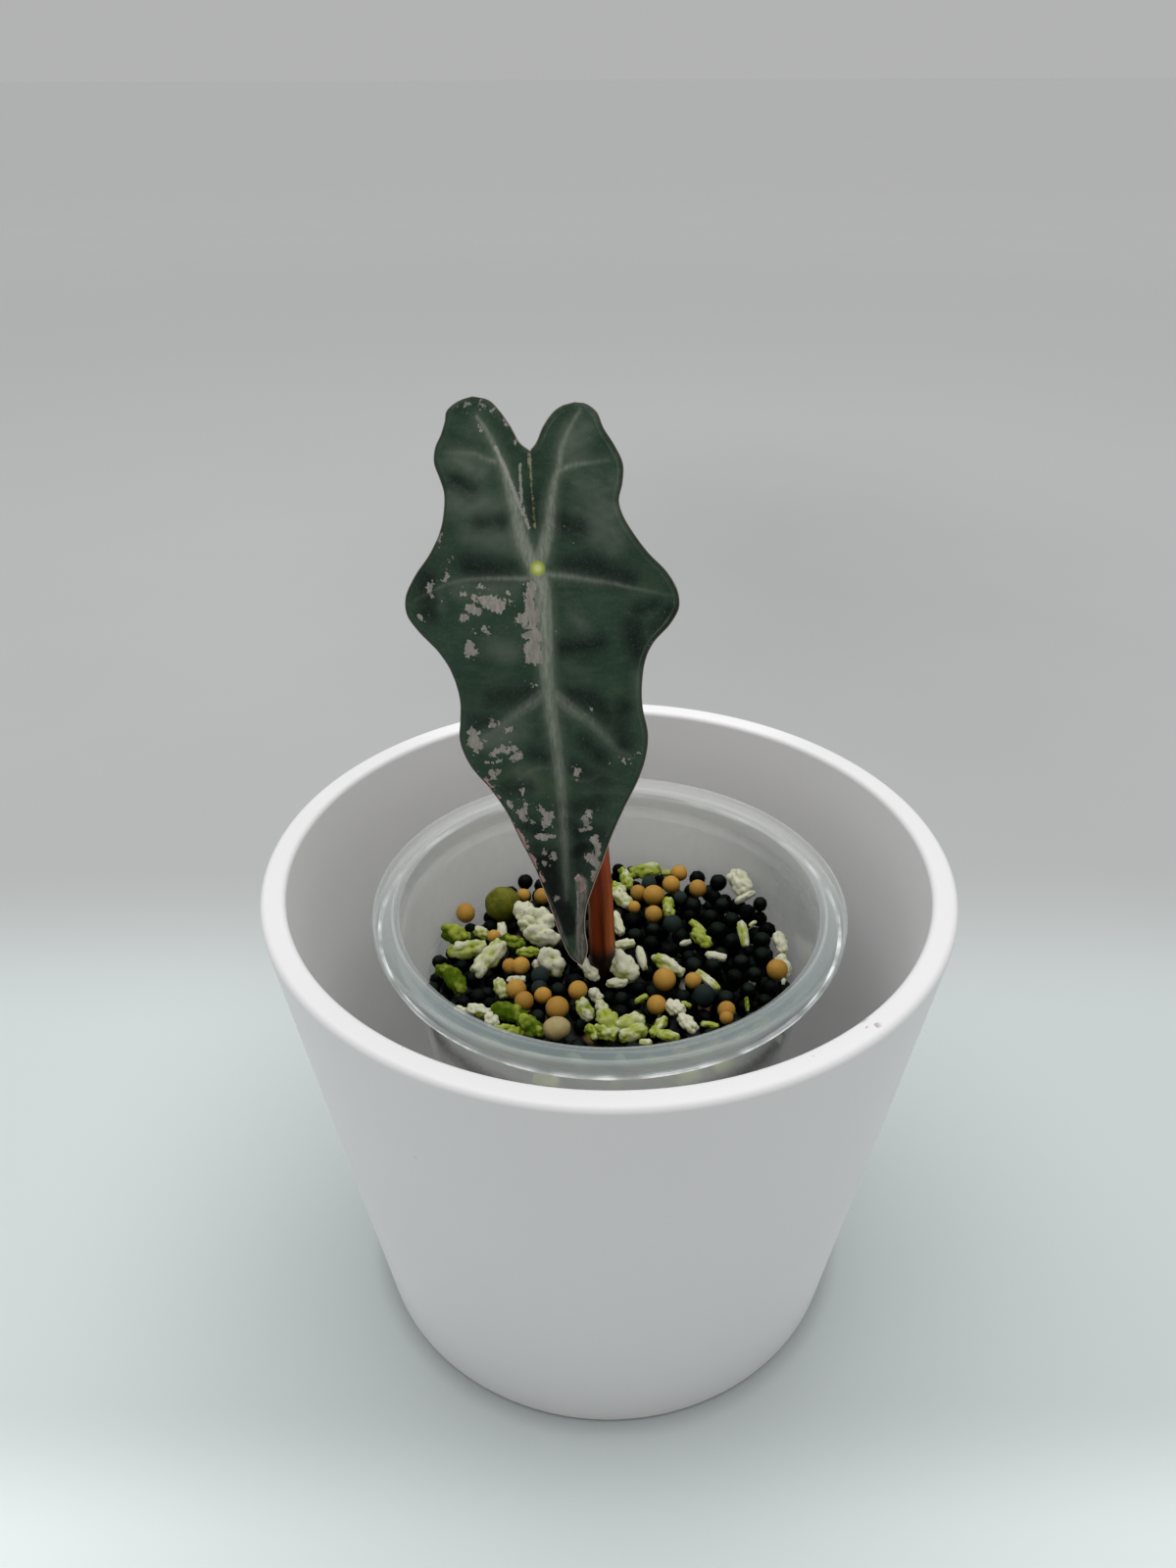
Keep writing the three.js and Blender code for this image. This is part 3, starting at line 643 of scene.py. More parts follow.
def grainMaterial(s):
    paint = Paint("blackGrain", specular=0.03)
    place = paint.place
    tone = paint.read("tone")
    lit = tone.remap(0, 1)
    crown = place.beside("Normal").axes()[2].remap(0.45, 0.95)
    dust = place.patches(900, 0.5, 0.75)
    paint.base(lit, s.darkest, s.dark)
    # painted light: the tops of the grains are painted paler
    paint.cover(crown * lit, s.crown)
    paint.cover(tone.remap(1.2, 2), s.grey)
    paint.cover(dust * 0.2, s.dust)
    paint.set("Roughness", dust.remap(0, 1, 0.4, 0.65))
    return paint.finish(place.noise(2200, 3), 0.00012, 0.5)


def plugMaterial(s):
    # the grains that lie against the cup's wall, as a pattern of cells
    paint = Paint("packedGrains", 0.6)
    cells = paint.place.cells(270)
    pale, tan, green = cells.beside("Color").axes()
    paint.base(pale.maths("GREATER_THAN", 0.76), s.plug, s.plugPale)
    paint.cover(tan.maths("GREATER_THAN", 0.88), s.plugTan)
    paint.cover(green.maths("GREATER_THAN", 0.78), s.plugGreen)
    # painted shade in the gaps between the packed grains
    paint.cover(cells.remap(0.35, 0.6), s.plugHollow)
    return paint.finish(cells * -1, 0.0015)


def prillMaterial(name, base):
    paint = Paint(name, 0.45, 0.16)
    place = paint.place
    upward = place.beside("Normal").axes()[2]
    paint.base(paint.read("tone"), scaled(base, 0.7), scaled(base, 1.1))
    paint.cover(place.patches(420, 0.35, 0.7) * 0.3, (base[0] * 0.8, base[1] * 0.62, base[2] * 0.4))
    paint.cover(place.specks(1500, 0.35, 0.12) * 0.5, scaled(base, 0.4))
    # painted shade: the undersides are painted darker
    paint.cover(upward.remap(0.5, -0.4, 0, 0.75), scaled(base, 0.42))
    return paint.finish(place.noise(1500, 3), 0.0001, 0.4)


def clayMaterial(s):
    paint = Paint("oliveClay", 0.6, 0.2)
    place = paint.place
    paint.base(place.patches(380, 0.35, 0.68), s.colour, s.shade)
    paint.cover(place.specks(1100, 0.4, 0.3) * 0.6, s.dots)
    return paint.finish(place.noise(1500, 4), 0.0003, 0.7)


def perliteMaterial(s):
    paint = Paint("perlite", 0.85, 0.08)
    place = paint.place
    # how green a point is: algae, with painted shade that turns the undersides deeper green
    algaeAndShade = paint.read("algaeAndShade") + (place.noise(500, 4) - 0.5) * 0.8
    paint.base(algaeAndShade.remap(-0.05, 0.7), s.white, s.green)
    paint.cover(algaeAndShade.remap(0.6, 1.2), s.deepGreen)
    paint.cover(place.specks(1300, 0.4, 0.4) * 0.45, s.pits)
    return paint.finish(place.noise(1300, 4), 0.0003, 0.6)


def placedPieces(s):
    # the places and radii of all that lies where the photo shows it
    placed = [(*seated(x, y, d / 2), d / 2) for x, y, d in prillSizes.prills]
    for x, y, r in (*s.greyGrains, pebbleSizes.place, clayBallSizes.place):
        placed.append((*seated(x, y, r), r))
    for lump in perliteSizes.lumps:
        a, b = lumpEnds(lump)
        placed += [(*(u + (v - u) * share for u, v in zip(a, b)), lump[4] * 0.95) for share in (0, 0.5, 1)]
    return np.array(placed)


def settledGrains(s):
    # each grain falls where, of several random places, it comes to rest lowest
    random = np.random.default_rng(s.seed)
    placed = placedPieces(s)
    grains = []
    for cap, onPlaced in s.layers:
        misses = 0
        while misses < s.misses:
            radius = random.uniform(*s.grainRadius)
            best = None
            around = np.array(grains).reshape(-1, 4)
            if onPlaced:
                around = np.vstack([around, placed])
            for _ in range(s.tries):
                out = s.spread * math.sqrt(random.random())
                turn = random.uniform(0, 2 * math.pi)
                px, py = out * math.cos(turn), out * math.sin(turn)
                flat = np.hypot(around[:, 0] - px, around[:, 1] - py)
                reach = around[:, 3] + radius
                near = flat < reach
                z = s.plugTop + radius * 0.9
                if near.any():
                    z = max(z, (around[near, 2] + np.sqrt(reach[near]**2 - flat[near]**2)).max())
                if roomInside(px, py, z) < radius or z > bedLevel(px, py) + cap:
                    continue
                if math.hypot(px - s.stem[0], py - s.stem[1]) < s.stem[2] + radius * 0.9:
                    continue
                if not onPlaced:
                    gap = np.linalg.norm(placed[:, :3] - (px, py, z), axis=1) - placed[:, 3]
                    if gap.min() < radius - s.overlap:
                        continue
                if best is None or z < best[2]:
                    best = (px, py, z, radius)
            misses += 1
            if best:
                grains.append(best)
                misses = 0
    return grains, random


def newMesh(field):
    bm = bmesh.new()
    return bm, bm.verts.layers.float.new(field)


def addBall(bm, layer, place, size, turn, value, rounds, rings):
    matrix = Matrix.Translation(Vector(place) * mm) @ turn.to_matrix().to_4x4() @ Matrix.Diagonal((*size, 1))
    ball = bmesh.ops.create_uvsphere(bm, u_segments=rounds, v_segments=rings, radius=mm, matrix=matrix)
    for vert in ball["verts"]:
        vert[layer] = value
    return ball["verts"]


def uneven(random, radius, least, most):
    return [radius * random.uniform(least, most) for _ in range(3)]


def randomTurn(random):
    return Euler([random.uniform(0, 2 * math.pi) for _ in range(3)])


def makeGrains(s):
    grains, random = settledGrains(s)
    print("settled", len(grains), "black grains")
    bm, layer = newMesh("tone")
    for x, y, z, r in grains:
        size = uneven(random, r, 0.93, 1.04)
        addBall(bm, layer, (x, y, z), size, randomTurn(random), random.random(), 9, 6)
    for x, y, r in s.greyGrains:
        size = uneven(random, r, 0.93, 1.04)
        addBall(bm, layer, seated(x, y, r), size, randomTurn(random), random.uniform(1.6, 2.0), 16, 10)
    finishPiece("blackGrains", bm, grainMaterial(s), ["substrate_bed"])


def makePlug(s):
    low, high = s.plugBottom, s.plugTop
    gap = cupSizes.wall + s.plugGap
    foot, top = [cupRadius(cupSizes, z - cupSizes.floor) - gap for z in (low, high)]
    bm = spun([(0, low), (foot, low), (top, high), (0, high)], s.plugSegments, cupSizes.centre)
    easeRings(bm, s.plugEase, 30, 3)
    finishPiece("packedGrains", bm, plugMaterial(s), ["substrate_bed"], 60)


def makePrills(s):
    random = np.random.default_rng(s.seed)
    bm, layer = newMesh("tone")
    for x, y, d in s.prills:
        size = uneven(random, d / 2, 0.95, 1.05)
        addBall(bm, layer, seated(x, y, d / 2), size, randomTurn(random), random.random(), 24, 16)
    material = prillMaterial("tanPrill", s.colour)
    finishPiece("tanPrills", bm, material, ["prill_heap_back", "prill_heap_front"])


def makeStone(name, s, material, replaced=()):
    x, y, r = s.place
    place = seated(x, y, r)
    bm, layer = newMesh("tone")
    for vert in addBall(bm, layer, place, scaled(s.shape, r), Euler(s.turn), s.tone, *s.rings):
        away = (vert.co - Vector(place) * mm).normalized()
        vert.co += away * mm * sum(depth * noise.noise(away * fine) for depth, fine in s.dents)
    finishPiece(name, bm, material, replaced)


def makePerlite(s):
    random = np.random.default_rng(s.seed)
    bm, layer = newMesh("algaeAndShade")
    for lump in s.lumps:
        a, b = (Vector(end) for end in lumpEnds(lump))
        radius, green = lump[4:]
        turn = (b - a).to_track_quat("X", "Z")
        half = (b - a).length / 2
        shape = Vector((radius, radius * random.uniform(0.9, 1.1), radius * random.uniform(0.9, 1.1)))
        away = Vector(random.uniform(-50, 50, 3))
        tilt = Euler((0, random.uniform(-0.25, 0.25), 0)).to_matrix()
        ball = bmesh.ops.create_icosphere(bm, subdivisions=4 if radius > 0.9 else 3, radius=1.0)
        for vert in ball["verts"]:
            way = vert.co.normalized()
            along = max(-1, min(1, way.x * 1.5)) * half
            at = way + Vector((along / radius, 0, 0))
            dent = noise.voronoi(at * 1.25 + away)[0][0] ** 2
            dent += 0.25 * noise.voronoi(at * 2.6 + away)[0][0] ** 2
            grow = s.swell - s.dent * dent + 0.02 * noise.noise(at * 6 + away)
            spot = Vector(way[i] * shape[i] * grow for i in range(3)) + Vector((along, 0, 0))
            vert.co = (turn @ (tilt @ spot) + (a + b) / 2) * mm
            # green from the lump's algae, greener in the dents, and with painted shade that turns the
            # undersides deeper green
            vert[layer] = green + 0.7 * (dent - 0.3) + 0.4 * noise.noise(at * 0.6 - away) - 0.3 * way.z
    heaps = ["perlite_heap_left", "perlite_heap_front"]
    finishPiece("perliteLumps", bm, perliteMaterial(s), heaps)


makeGrains(bedSizes)
makePlug(bedSizes)
makePrills(prillSizes)
makeStone("beigePebble", pebbleSizes, prillMaterial("beigePebble", pebbleSizes.colour))
makeStone("clayBall", clayBallSizes, clayMaterial(clayBallSizes), ["clay_ball"])
makePerlite(perliteSizes)


# Leaf blade, in its own plane in mm: x across, y towards the ears, z out of the face

leafSizes = Values(
    place=(-9.8, -4, 134.5), lean=13.8, roll=5.7,
    quilt=1.45, droop=0.01, earArch=0.005, tipArch=0.0007, ripple=0.06, hollowDepth=0.3, hollowReach=1.1,
    lip=0.1, lipPlace=0.6, lipReach=0.28, edgeDrop=0.16, edgeReach=0.22,
    veinReach=2.9, veinCore=0.6, veinHaze=0.22, veinHeart=0.3,
    thickness=0.62, edgeThickness=0.34, rib=0.75, ribReach=0.8, veinRib=0.35,
    rowStep=0.23, columns=56, crowding=1.35,
)
notch = (0.8, 15.2)
tip = (-0.2, -59.8)
leftEarTop = (-6, 22.7)
rightEarTop = (7.2, 20.6)
leftEarInside = [(-0.4, 16.3), (-1.4, 18.5), (-2.6, 20.5), (-3.9, 22)]
rightEarInside = [(1.7, 16.1), (2.8, 18), (4.4, 19.7), (5.8, 20.4)]
leftSide = [
    (-7.9, 22.3), (-9.6, 21.2), (-10, 19.9), (-10.7, 18.4), (-11.7, 16.8), (-12.1, 14.9), (-11.6, 12.9),
    (-11.2, 11), (-11.5, 8.8), (-12.3, 6.3), (-14.2, 3.3), (-16.9, 0.3), (-18.7, -2.6), (-18.8, -4.9),
    (-17.3, -7.4), (-15, -10.2), (-13.6, -13), (-12.9, -17), (-13.3, -20.2), (-13.8, -23.2),
    (-12.9, -26.6), (-10.4, -30.4), (-8.4, -34.2), (-7.1, -38.2), (-5.8, -42), (-4.8, -45.6),
    (-3.75, -50.4), (-2.75, -55.2), (-1.7, -58.3),
]
litSide = [
    (8.6, 20.3), (10, 19.1), (10.7, 17), (11.9, 14.7), (12.8, 12.2), (12.5, 9.8), (11.8, 7.6), (12.1, 5.8),
    (13.2, 3.4), (15.1, 0.3), (17.4, -2.6), (18.7, -5.4), (18.7, -7.8), (17.2, -9.9), (14.7, -12),
    (13.4, -14.2), (12.6, -17.6), (12.4, -20.8), (12.8, -24.8), (12.2, -28.2), (10.7, -31.6),
    (8.6, -35), (6.4, -39), (4.4, -43.4), (2.5, -47.5), (1.3, -50.6), (0.85, -53.8), (0.85, -57.3),
]
spine = [
    notch, (0.3, 8), (0, 0), (0.8, -3), (0.4, -9), (0, -17), (0, -33), (-0.8, -42), (-1.4, -48),
    (-0.9, -54), tip,
]
leafHalves = [(leftEarTop, leftEarInside, leftSide), (rightEarTop, rightEarInside, litSide)]
# half width and paleness at a vein's start and end, then its line
leafVeins = [
    ((1.1, 0.5), (1.0, 0.18), [(-0.1, -0.4), (0.3, -2.8), (0.1, -8.1), (-0.3, -13.6), (-0.4, -19.2),
                               (-0.2, -27.9), (-0.5, -36.9), (-0.9, -43), (-1.4, -48.6)]),
    ((1.0, 0.22), (0.95, 0.55), [(-0.4, 0.6), (-1.2, 2.6), (-1.7, 4.6), (-2, 7.8), (-2.5, 10.4), (-3, 13.6),
                                 (-3.6, 15.5), (-4.6, 18.1), (-5.7, 20.1)]),
    ((0.92, 0.16), (0.8, 0.4), [(0.6, 1.1), (1.8, 4.2), (2.4, 6.1), (2.9, 8.6), (3.6, 11), (4.4, 12.8),
                                (4.8, 14.7), (5.6, 16.4), (6.8, 18.2), (7.9, 19.6)]),
    ((0.4, 0.2), (0.45, 0.12), [(-3.8, 14.2), (-5.3, 14.8), (-6.5, 15.5), (-8.5, 15.8), (-10.4, 16.1)]),
    ((0.35, 0.15), (0.6, 0.2), [(4.5, 12.3), (6, 12.7), (8.2, 12.8), (10.8, 12.9)]),
    ((0.3, 0.12), (0.55, 0.1), [(-0.6, -1.4), (-5.2, -0.9), (-7.9, -0.7), (-10.6, -0.7), (-12.7, -1.1),
                                (-17.5, -3)]),
    ((0.5, 0.15), (0.55, 0.1), [(0.8, -0.9), (4, -1.6), (6.6, -2.3), (9.2, -3), (11.8, -3.9), (14.7, -4.9),
                                (17.8, -6)]),
    ((0.9, 0.4), (0.42, 0.05), [(-0.7, -17.2), (-2.6, -18.3), (-4.1, -19.1), (-6.3, -20.4), (-8.2, -21.7),
                                (-12.5, -24)]),
    ((0.9, 0.4), (0.5, 0.04), [(0.2, -17.6), (2.1, -19.5), (3.6, -20.9), (5, -22.1), (6.1, -23.5),
                               (7.1, -24.8), (8.3, -26.6), (11.5, -28.6)]),
    ((0.3, 0.2), (0.13, 0.02), [(-0.7, -28.5), (-2.7, -27.9), (-4.4, -28.2), (-6, -29.3), (-8.6, -31)]),
    ((0.3, 0.2), (0.13, 0.02), [(0, -29.1), (1.6, -29.9), (3.7, -30.6), (5.7, -29.9), (9.6, -31.5)]),
]
# each stroke's half width in mm, then the x and y of its points
leafStrokes = {
    "fleck": [
        (0.41, -5, 21.8, -4.6, 21.5), (0.21, -3.7, 20.5, -3.1, 20.8), (0.35, -1.9, 19.5, -1.5, 18.8),
        (0.14, -5.6, 19, -5.3, 18.6), (0.17, -1, 16.5, -0.7, 16.6), (0.11, -7, 21.8, -6.5, 21.9),
        (0.15, -12.2, 5.9, -12.6, 5), (0.37, -12.1, 0.9, -12.8, -0.6), (0.34, -14.4, -0.3, -15.1, -1.6),
        (0.21, -14.8, -2.6), (0.14, -13.5, -2.9, -13.2, -2.6), (0.08, -13.1, -1.8, -13.2, -2.4),
        (0.13, -12.2, 2, -11.9, 2.2), (0.15, -17.2, -4.9, -16.7, -5.8),
        (0.83, -7.5, -3.6, -6.5, -3.9, -5.6, -4.8), (0.23, -5, -3.8, -4.2, -4.1, -3.5, -3.9),
        (0.38, -8.2, -3.5), (0.14, -4.4, -4.7, -5.1, -4.7), (0.23, -7.9, -1.6, -7.2, -2.1),
        (0.11, -6.7, -2.1, -6.5, -2.6), (0.2, -9.1, -2.9, -8.7, -3.3), (0.17, -10.8, -2.6, -10, -2.5),
        (0.38, -9.7, -4.4, -9, -4.7, -8.5, -5), (0.37, -10.8, -5.7, -10.2, -5.7),
        (0.17, -4.7, -2.8, -4, -2.8), (0.17, -9.4, -7.9, -8.7, -7.7, -8.1, -7.3, -7.8, -7.9, -7.4, -8.1),
        (0.58, -10.5, -9.8, -10.5, -10.5, -9.9, -10.6), (0.64, -1, -2.6, -1.4, -3.6, -1.7, -4.5),
        (0.87, -2.9, -6.5, -2.1, -6.3, -1.3, -6.3), (0.6, -1.4, -4.5, -1.5, -8, -1.4, -12.3),
        (0.5, -2.9, -7.4, -2.8, -7.7), (0.56, -2.7, -8.8, -2, -9.2, -1.3, -9),
        (0.46, -1, -8.7, -1.1, -10, -1.2, -11.4, -1.5, -12.7), (0.53, -2.2, -10.5, -1.9, -11.3, -1.9, -12.2),
        (0.5, -2.6, -12.1), (0.17, -2.3, -15.8, -1.9, -16), (0.17, -2, -2.1, -1.2, -2.3, -0.9, -2),
        (0.8, -11.8, -22.3, -11.7, -23.5, -11.3, -23.7), (0.23, -10.8, -22, -10.3, -21.8),
        (0.21, -10.8, -23.3, -10.2, -23.4), (0.23, -11.8, -24.4, -11.6, -24.9), (0.21, -12.1, -21.7),
        (0.23, -8.8, -20.3), (0.37, -9.1, -21.2, -8.7, -21.1), (0.13, -7.8, -20.8, -8, -21.3),
        (0.23, -6.8, -22, -6.2, -21.7), (0.47, -7.8, -24.6, -8.7, -25.1, -9.1, -25.6),
        (0.23, -9.4, -26, -8.4, -26.2), (0.38, -10.4, -26.4, -9.7, -26.5), (0.2, -6.9, -24.4, -7, -25),
        (0.2, -6.2, -24.6, -5.8, -24.5), (0.41, -6.4, -25.9, -5.8, -25.6), (0.35, -9.8, -28, -9.6, -28.5),
        (0.21, -8.7, -27.8, -8.9, -28.1), (0.37, -5.6, -31, -5.7, -31.9, -5.5, -32.9, -5.6, -34.2),
        (0.18, -6.5, -32.3, -5.9, -32), (0.11, -4.9, -32.7, -4.2, -32.7),
        (0.35, -6.3, -33.8, -6.3, -34.8, -5.7, -35.5, -4.7, -35.9), (0.21, -6.6, -34.2),
        (0.55, -3.5, -34, -3, -34.8, -2.3, -35.1, -2.7, -36), (0.23, -4.1, -34.7),
        (0.14, -3.7, -36.2, -3.5, -36.8), (0.18, -2.1, -37),
        (0.37, -4.1, -38.3, -3.6, -38.5, -2.8, -38.4, -2.3, -38.3), (0.41, -2.6, -40.9, -2.4, -41.7),
        (0.44, -3.6, -40.5), (0.38, -4, -42.5), (0.23, -2.8, -48.2), (0.21, -8, -32.6, -7.5, -33.3),
        (0.17, 5.1, -19.9, 5.3, -20.2), (0.41, 2, -29.3, 2.5, -28.8), (0.13, 9, -27.9, 9.2, -28.7),
        (0.13, 9.7, -28, 10.2, -28), (0.18, 10.7, -27.3, 11.5, -27.3), (0.13, 6.8, -28.5, 7, -28.2),
        (0.35, 3.3, -35.6), (0.52, 2.5, -36.1, 2.9, -36.6, 2.5, -37.3, 2.1, -37.8), (0.47, 2.9, -37.7),
        (0.52, 3.8, -39.3, 4.1, -40.4, 3.8, -41.6), (0.66, 3, -42.3, 3.7, -43, 3.9, -43.9),
        (0.52, 3.2, -44.7, 3.1, -45.8),
    ],
    "pink": [
        (0.13, -11.6, -27.8, -11, -28.9, -10.3, -29.9), (0.17, -9.9, -30.2, -9.2, -31.5, -9, -31.8),
        (0.23, -7.4, -35.9, -6.9, -37.4, -6.3, -38.9),
        (0.28, -6.5, -39, -5.9, -40.5, -5.4, -42, -5.1, -43.3), (0.14, -4.8, -43.9, -4.5, -45.1),
        (0.5, 0.7, -45.4, 1.3, -46, 1.2, -47.2), (0.25, -1.9, 19.5, -1.5, 18.8),
        (0.14, 13.9, -12.3, 14.6, -12), (0.14, 18, -3, 18.8, -5.2),
    ],
    "tipDark": [(1.3, -3.5, -42.5, -3, -46, -2.2, -50, -1.7, -53), (0.6, 0.6, -41.5, 1.7, -40.5)],
    "tipMilk": [
        (0.2, -4.6, -46.5, -3.4, -51, -2.2, -56), (0.75, 1.1, -46, 0.9, -50, 0.2, -54, 0, -57),
        (0.9, -0.6, -58, -0.5, -59.2),
    ],
    "fineLine": [
        (0.25, -3.7, 16, -2.9, 13.8, -2.2, 11.5, -1.7, 9.3, -1.1, 7.2),
        (0.18, -0.7, 13.6, -0.9, 11.5, -1, 9, -0.8, 6.8, -0.5, 5.3), (0.16, 0.6, 15, 0.5, 13.2),
        (0.09, 0.4, -47.5, 0.1, -51, -0.4, -54.5, -0.5, -58),
    ],
    "seam": [(0.13, 0.75, 14.6, 0.6, 12, 0.45, 8.5, 0.3, 5.2)],
    # hollows, pressed into the surface and also painted darker as shade
    "hollow": [
        (0.99, -9, 1.1, -6.4, 0.5, -3.8, 0), (1.13, 4.6, -0.2, 6.8, -0.6, 9.3, -1.7, 11.7, -2.7),
        (0.99, 2.6, -18.2, 4.9, -18.7, 6.4, -20.2, 7.1, -21.8), (0.85, 9.5, -20.5, 8.8, -23.9, 9.3, -25.7),
        (0.99, -8, -17.2, -5.2, -17.5, -3.1, -17.2), (0.56, -11, -20.7, -9.3, -20.7),
        (0.85, 2.2, -28.7, 3.7, -30, 5.3, -30.7), (0.85, -0.3, -34.6, 1.9, -34.4, 4.7, -33.9),
        (0.85, 0.2, -36.9, 1.4, -38.5), (0.7, 2.9, -38, 4.5, -39), (0.56, -7.6, -30.7, -4.7, -30.6),
        (0.42, -3.5, -25.9, -1.5, -26.5), (0.56, 1.7, -11, 4.3, -11.2, 7.3, -11),
        (0.56, -9.5, 12.4, -7.6, 11), (0.7, -4.2, 6.6, -6.8, 6.6), (0.99, 3.5, 5.7, 6, 4.5),
        (1.5, -3, -42, -3.2, -46.6, -2.2, -52), (1.3, 0.8, -44.5, 2.2, -41.3),
        (0.7, -4.8, -40.2, -4.8, -43.1), (0.56, -5.5, -36.7, -4.2, -37.6), (0.85, -15.2, -0.1, -15.8, -4.8),
        (0.85, 17.3, -8.3, 15.6, -10.3), (0.99, 11.9, -9.4, 12.3, -12.9), (0.56, 0.3, 6.3, 0.4, 8.9),
        (0.4, 13, -7.5, 15.5, -6.8), (0.6, 3.8, -24.6, 5.8, -27.5),
    ],
    # painted sheen: where the surface is painted paler, as reflection
    "pale": [
        (1.69, 7.3, 16.9, 6.4, 14.5), (1.97, 7.8, 9.4, 10.2, 6.6), (1.97, 7.4, 5.6, 10.4, 2.7),
        (0.2, -14, -1.5, -13.6, -4), (1.41, -8.6, 14.8, -6.1, 13.3), (1.97, -9.1, 9.8, -5.3, 8.2),
        (1.41, -8.3, 5.3, -3.2, 4.1), (1.13, -10.8, -1.8, -4, -2.3), (0.2, 2.7, -13.8, 5, -15),
        (1.41, -9.5, -23.4, -5.1, -22.2), (1.41, -5.9, -28.5, -4, -30.2), (0.5, 4.3, -6.8, 5.8, -10),
        (0.7, 12.7, -16.4, 11.9, -20.6), (0.56, 11.2, 10.2, 11.1, 6.5), (1.13, -7.7, -10, -5.1, -10.9),
    ],
}
leafSoftness = {"hollow": (-1.8, 0.8), "pale": (-1.6, 1.4), "tipDark": (-0.7, 0.3), "tipMilk": (-0.35, 0.2)}
leafColours = Values(
    deep=(0.015, 0.040, 0.021), green=(0.029, 0.058, 0.034), smear=(0.060, 0.088, 0.060),
    pale=(0.082, 0.106, 0.078), fresh=(0.036, 0.064, 0.018), hollow=(0.0012, 0.0095, 0.0045),
    haze=(0.10, 0.115, 0.095), tipDark=(0.0003, 0.0035, 0.0015), vein=(0.27, 0.29, 0.235),
    fleck=(0.335, 0.310, 0.275), fleckStreak=(0.255, 0.232, 0.205), fineLine=(0.36, 0.35, 0.31),
    seam=(0.32, 0.28, 0.16), pink=(0.40, 0.255, 0.245), tipMilk=(0.185, 0.160, 0.142),
    darkEdge=(0.014, 0.014, 0.010), innerLine=(0.13, 0.15, 0.12), cream=(0.42, 0.33, 0.27),
    spotEdge=(0.35, 0.40, 0.05), spot=(0.66, 0.70, 0.28),
    under=(0.085, 0.125, 0.070), underVein=(0.26, 0.22, 0.15), underCloud=(0.065, 0.090, 0.058),
)


def nearestOnLine(line, x, y):
    # how far points are from a line, and at what share of its length they are nearest to it
    line = np.array(line if len(line) > 1 else line * 2, float)
    legs = np.diff(line, axis=0)
    lengths = np.hypot(*legs.T)
    before = np.concatenate([[0], np.cumsum(lengths)])
    distance = np.full(x.shape, 99.0)
    share = np.zeros(x.shape)
    for (ax, ay), (dx, dy), start, length in zip(line, legs, before, lengths):
        t = np.clip(((x - ax) * dx + (y - ay) * dy) / max(length**2, 1e-9), 0, 1)
        far = np.hypot(x - ax - dx * t, y - ay - dy * t)
        share = np.where(far < distance, (start + t * length) / max(before[-1], 1e-9), share)
        distance = np.minimum(distance, far)
    return distance, share


def strokeField(strokes, x, y):
    # how far inside the nearest stroke a point lies, in mm, below zero outside it
    field = np.full(x.shape, -9.0)
    for radius, *flat in strokes:
        line = list(zip(flat[::2], flat[1::2]))
        field = np.maximum(field, radius - nearestOnLine(line, x, y)[0])
    return field


def veinField(s, x, y):
    # how pale the veins make a point, and how deep they press it in
    pale = np.zeros(x.shape)
    depth = np.zeros(x.shape)
    for widths, strengths, line in leafVeins:
        distance, share = nearestOnLine(smoothLine(line, 5), x, y)
        strength = np.interp(share, (0, 1), strengths)
        inside = np.interp(share, (0, 1), widths) - distance
        soft = s.veinCore * smoothStep(-0.3, 0.35, inside) + s.veinHaze * smoothStep(-1.3, 0.1, inside)
        soft += s.veinHeart * smoothStep(0.34, 0.05, distance)
        pale = np.maximum(pale, strength * soft)
        depth = np.maximum(depth, np.sqrt(strength) * np.exp(-(distance / s.veinReach)**2))
    return pale, depth


def crossing(points):
    line = smoothLine(points, 10)
    line = line[np.argsort(line[:, 1])]
    return lambda y: np.interp(y, line[:, 1], line[:, 0])


